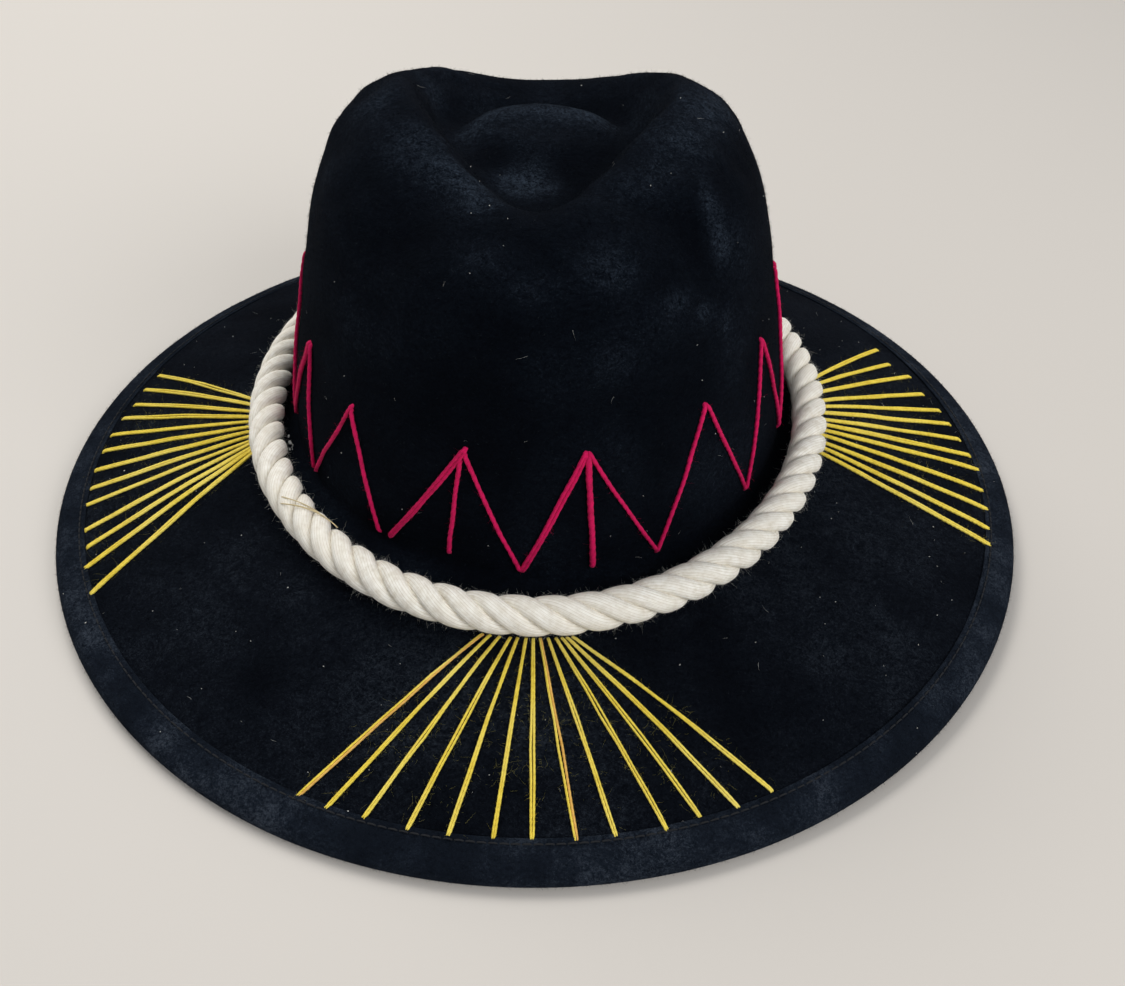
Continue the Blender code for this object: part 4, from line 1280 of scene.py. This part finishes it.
# ===================================================================== nap and lint
def surface_samples(grid, normals, count, seed, weight=None):
    """Random points on a closed-column grid, spread evenly over its area."""
    r = np.random.default_rng(seed)
    a = grid[:-1]
    b = grid[1:]
    c = np.roll(grid, -1, 1)[:-1]
    area_ = np.linalg.norm(np.cross(b - a, c - a), axis=-1)
    if weight is not None:
        area_ = area_ * weight[:-1]
    flat_ = area_.ravel() / area_.sum()
    pick = r.choice(flat_.size, count, p=flat_)
    i, j = np.unravel_index(pick, area_.shape)
    u, v = r.random(count)[:, None], r.random(count)[:, None]
    j2 = (j + 1) % grid.shape[1]
    p = (grid[i, j] * (1 - u) * (1 - v) + grid[i + 1, j] * u * (1 - v)
         + grid[i, j2] * (1 - u) * v + grid[i + 1, j2] * u * v)
    return p, unit(normals[i, j])


cg = crown_outer[7:]
cnorm = grid_normals(cg)
pts, nr = surface_samples(cg, cnorm, 44000, 101)
bag = Bag()
hairs(bag, pts - nr * 0.1, nr, 1.25, 0.042, 102, lean=1.1, curl=0.9, segs=1)
finish_piece(bag.build("crown_nap", M_NAP, uv=True), slot="suede")

bx, by = brim_xy(SS[1:-4, None], BDEG[None])
bz = brim_skin(bx, by)
bg = np.stack([bx, by, bz], -1)
bn = -grid_normals(bg)
bn = np.where(bn[..., 2:3] < 0, -bn, bn)
pts, nr = surface_samples(bg, bn, 44000, 103)
edge_n = unit(bind - np.roll(bind, 1, 0).mean(1, keepdims=True) * 0)
en = grid_normals(bind)
epts, enr = surface_samples(bind[15:], en[15:], 30000, 104)
bag = Bag()
hairs(bag, pts - nr * 0.1, nr, 1.05, 0.040, 105, lean=1.5, curl=0.8, segs=1)
finish_piece(bag.build("brim_nap", M_NAP, uv=True), slot="suede")
bag = Bag()
hairs(bag, epts - enr * 0.1, enr, 1.0, 0.040, 106, lean=1.0, curl=0.9, segs=1)
finish_piece(bag.build("binding_nap", M_NAP, uv=True), slot="binding")


def specks(bag, pts, nr, size, seed):
    """Lint: tiny uneven double pyramids that sit in the nap."""
    r = np.random.default_rng(seed)
    for p, n in zip(pts, nr):
        a = unit(np.cross(n, [0.3, 0.5, 0.8]))
        b = np.cross(n, a)
        w = size * r.uniform(0.5, 1.35)
        ang = r.uniform(0, math.pi)
        a, b = a * math.cos(ang) + b * math.sin(ang), b * math.cos(ang) - a * math.sin(ang)
        st = r.uniform(1.0, 2.2)
        v = [p + a * w * st, p + b * w, p - a * w * st, p - b * w * r.uniform(0.6, 1.0), p + n * (w * 0.8 + 0.12), p - n * 0.15]
        bag.add(np.array(v), np.array([[0, 1, 4], [1, 2, 4], [2, 3, 4], [3, 0, 4], [1, 0, 5], [2, 1, 5], [3, 2, 5], [0, 3, 5]]))


bag = Bag()
p1, n1 = surface_samples(cg, cnorm, 60, 111)
p2, n2 = surface_samples(bg, bn, 150, 112)
p3, n3 = surface_samples(bind[20:], en[20:], 14, 113)
specks(bag, np.vstack([p1, p2, p3]) + np.vstack([n1, n2, n3]) * 0.15, np.vstack([n1, n2, n3]), 0.135, 114)
p4, n4 = surface_samples(cg, cnorm, 46, 115)
p5, n5 = surface_samples(bg, bn, 60, 116)
r_ = np.random.default_rng(117)
pp, nn = np.vstack([p4, p5]), np.vstack([n4, n5])
tt = unit(np.cross(nn, unit(r_.normal(size=pp.shape))) + nn * 0.12)
hairs(bag, pp + nn * 0.2, tt, 2.6, 0.026, 118, lean=0.15, curl=0.9, segs=5)
finish_piece(bag.build("lint_specks", M_LINT, uv=True), slot="suede")

# ===================================================================== hidden CAD pieces
def cad_finish(node, mat):
    obj = bpy.data.objects[node]
    for slot_ in obj.material_slots:
        slot_.material = mat
    if not obj.material_slots:
        obj.data.materials.append(mat)


M_BUCKRAM = cloth("buckram_weave", (0.070, 0.066, 0.062), 0.9, 2600.0, 0.0, 0.0002)


def wire_material():
    mat = bpy.data.materials.new("edge_wire_drawn")
    nt, sh = nodes_of(mat)
    co = object_coord(nt)
    n1 = noise(nt, co, 900.0, 3.0)
    nt.links.new(ramp(nt, n1, [(0.3, (0.36, 0.36, 0.38)), (0.7, (0.58, 0.58, 0.60))]), sh.inputs["Base Color"])
    sh.inputs["Metallic"].default_value = 1.0
    sh.inputs["Roughness"].default_value = 0.35
    nt.links.new(bump(nt, n1, 0.3, 0.0001), sh.inputs["Normal"])
    return mat


cad_finish("brim_stiffener", M_BUCKRAM)
cad_finish("brim_edge_wire", wire_material())

# ===================================================================== stage
bpy.context.scene.view_settings.view_transform = "Standard"
bpy.context.scene.view_settings.look = "None"
bpy.ops.mesh.primitive_plane_add(size=6.0, location=(0, 0.8, -0.0004))
floor = bpy.context.object
floor.name = "floor"
fmat = bpy.data.materials.new("floor_pale")
nt, sh = nodes_of(fmat)
sh.inputs["Base Color"].default_value = (0.635, 0.595, 0.545, 1)
sh.inputs["Roughness"].default_value = 0.6
floor.data.materials.append(fmat)

world = bpy.data.worlds.new("studio")
bpy.context.scene.world = world
world.use_nodes = True
world.node_tree.nodes["Background"].inputs["Color"].default_value = (0.93, 0.96, 1.0, 1)
world.node_tree.nodes["Background"].inputs["Strength"].default_value = 0.37


def area(name, loc, aim, size, power, colour=(1, 1, 1)):
    light = bpy.data.lights.new(name, "AREA")
    light.shape = "RECTANGLE"
    light.size, light.size_y = size
    light.energy = power
    light.color = colour
    o = bpy.data.objects.new(name, light)
    bpy.context.scene.collection.objects.link(o)
    o.location = loc
    o.rotation_euler = (Vector(aim) - Vector(loc)).to_track_quat("-Z", "Y").to_euler()
    return o


area("key_window", (-0.7, 0.9, 1.5), (0, 0, 0.08), (1.4, 1.0), 24, (1.0, 0.985, 0.96))
area("fill_front", (0.95, -1.1, 1.0), (0, 0, 0.05), (1.2, 0.8), 16, (0.98, 0.985, 1.0))

# ===================================================================== camera
F_PX, ELEV, DIST, ROLL, TX, TY, EDGE_MID = 1127.0, math.radians(40.70), 412.3, math.radians(-1.13), 9.0, -17.33, 2.5
back = Vector((0, -math.cos(ELEV), math.sin(ELEV)))
right = Vector((1, 0, 0))
up = Vector((0, math.sin(ELEV), math.cos(ELEV)))
xc = right * math.cos(ROLL) - up * math.sin(ROLL)
yc = right * math.sin(ROLL) + up * math.cos(ROLL)
cam_data = bpy.data.cameras.new("camera")
cam_data.sensor_fit = "HORIZONTAL"
cam_data.sensor_width = 36.0
cam_data.lens = 36.0 * F_PX / 1125.0
cam_data.clip_start = 0.01
cam = bpy.data.objects.new("camera", cam_data)
bpy.context.scene.collection.objects.link(cam)
m = Matrix((xc, yc, back)).transposed().to_4x4()
m.translation = (Vector((TX, TY, EDGE_MID)) + back * DIST) * MM
cam.matrix_world = m
bpy.context.scene.camera = cam
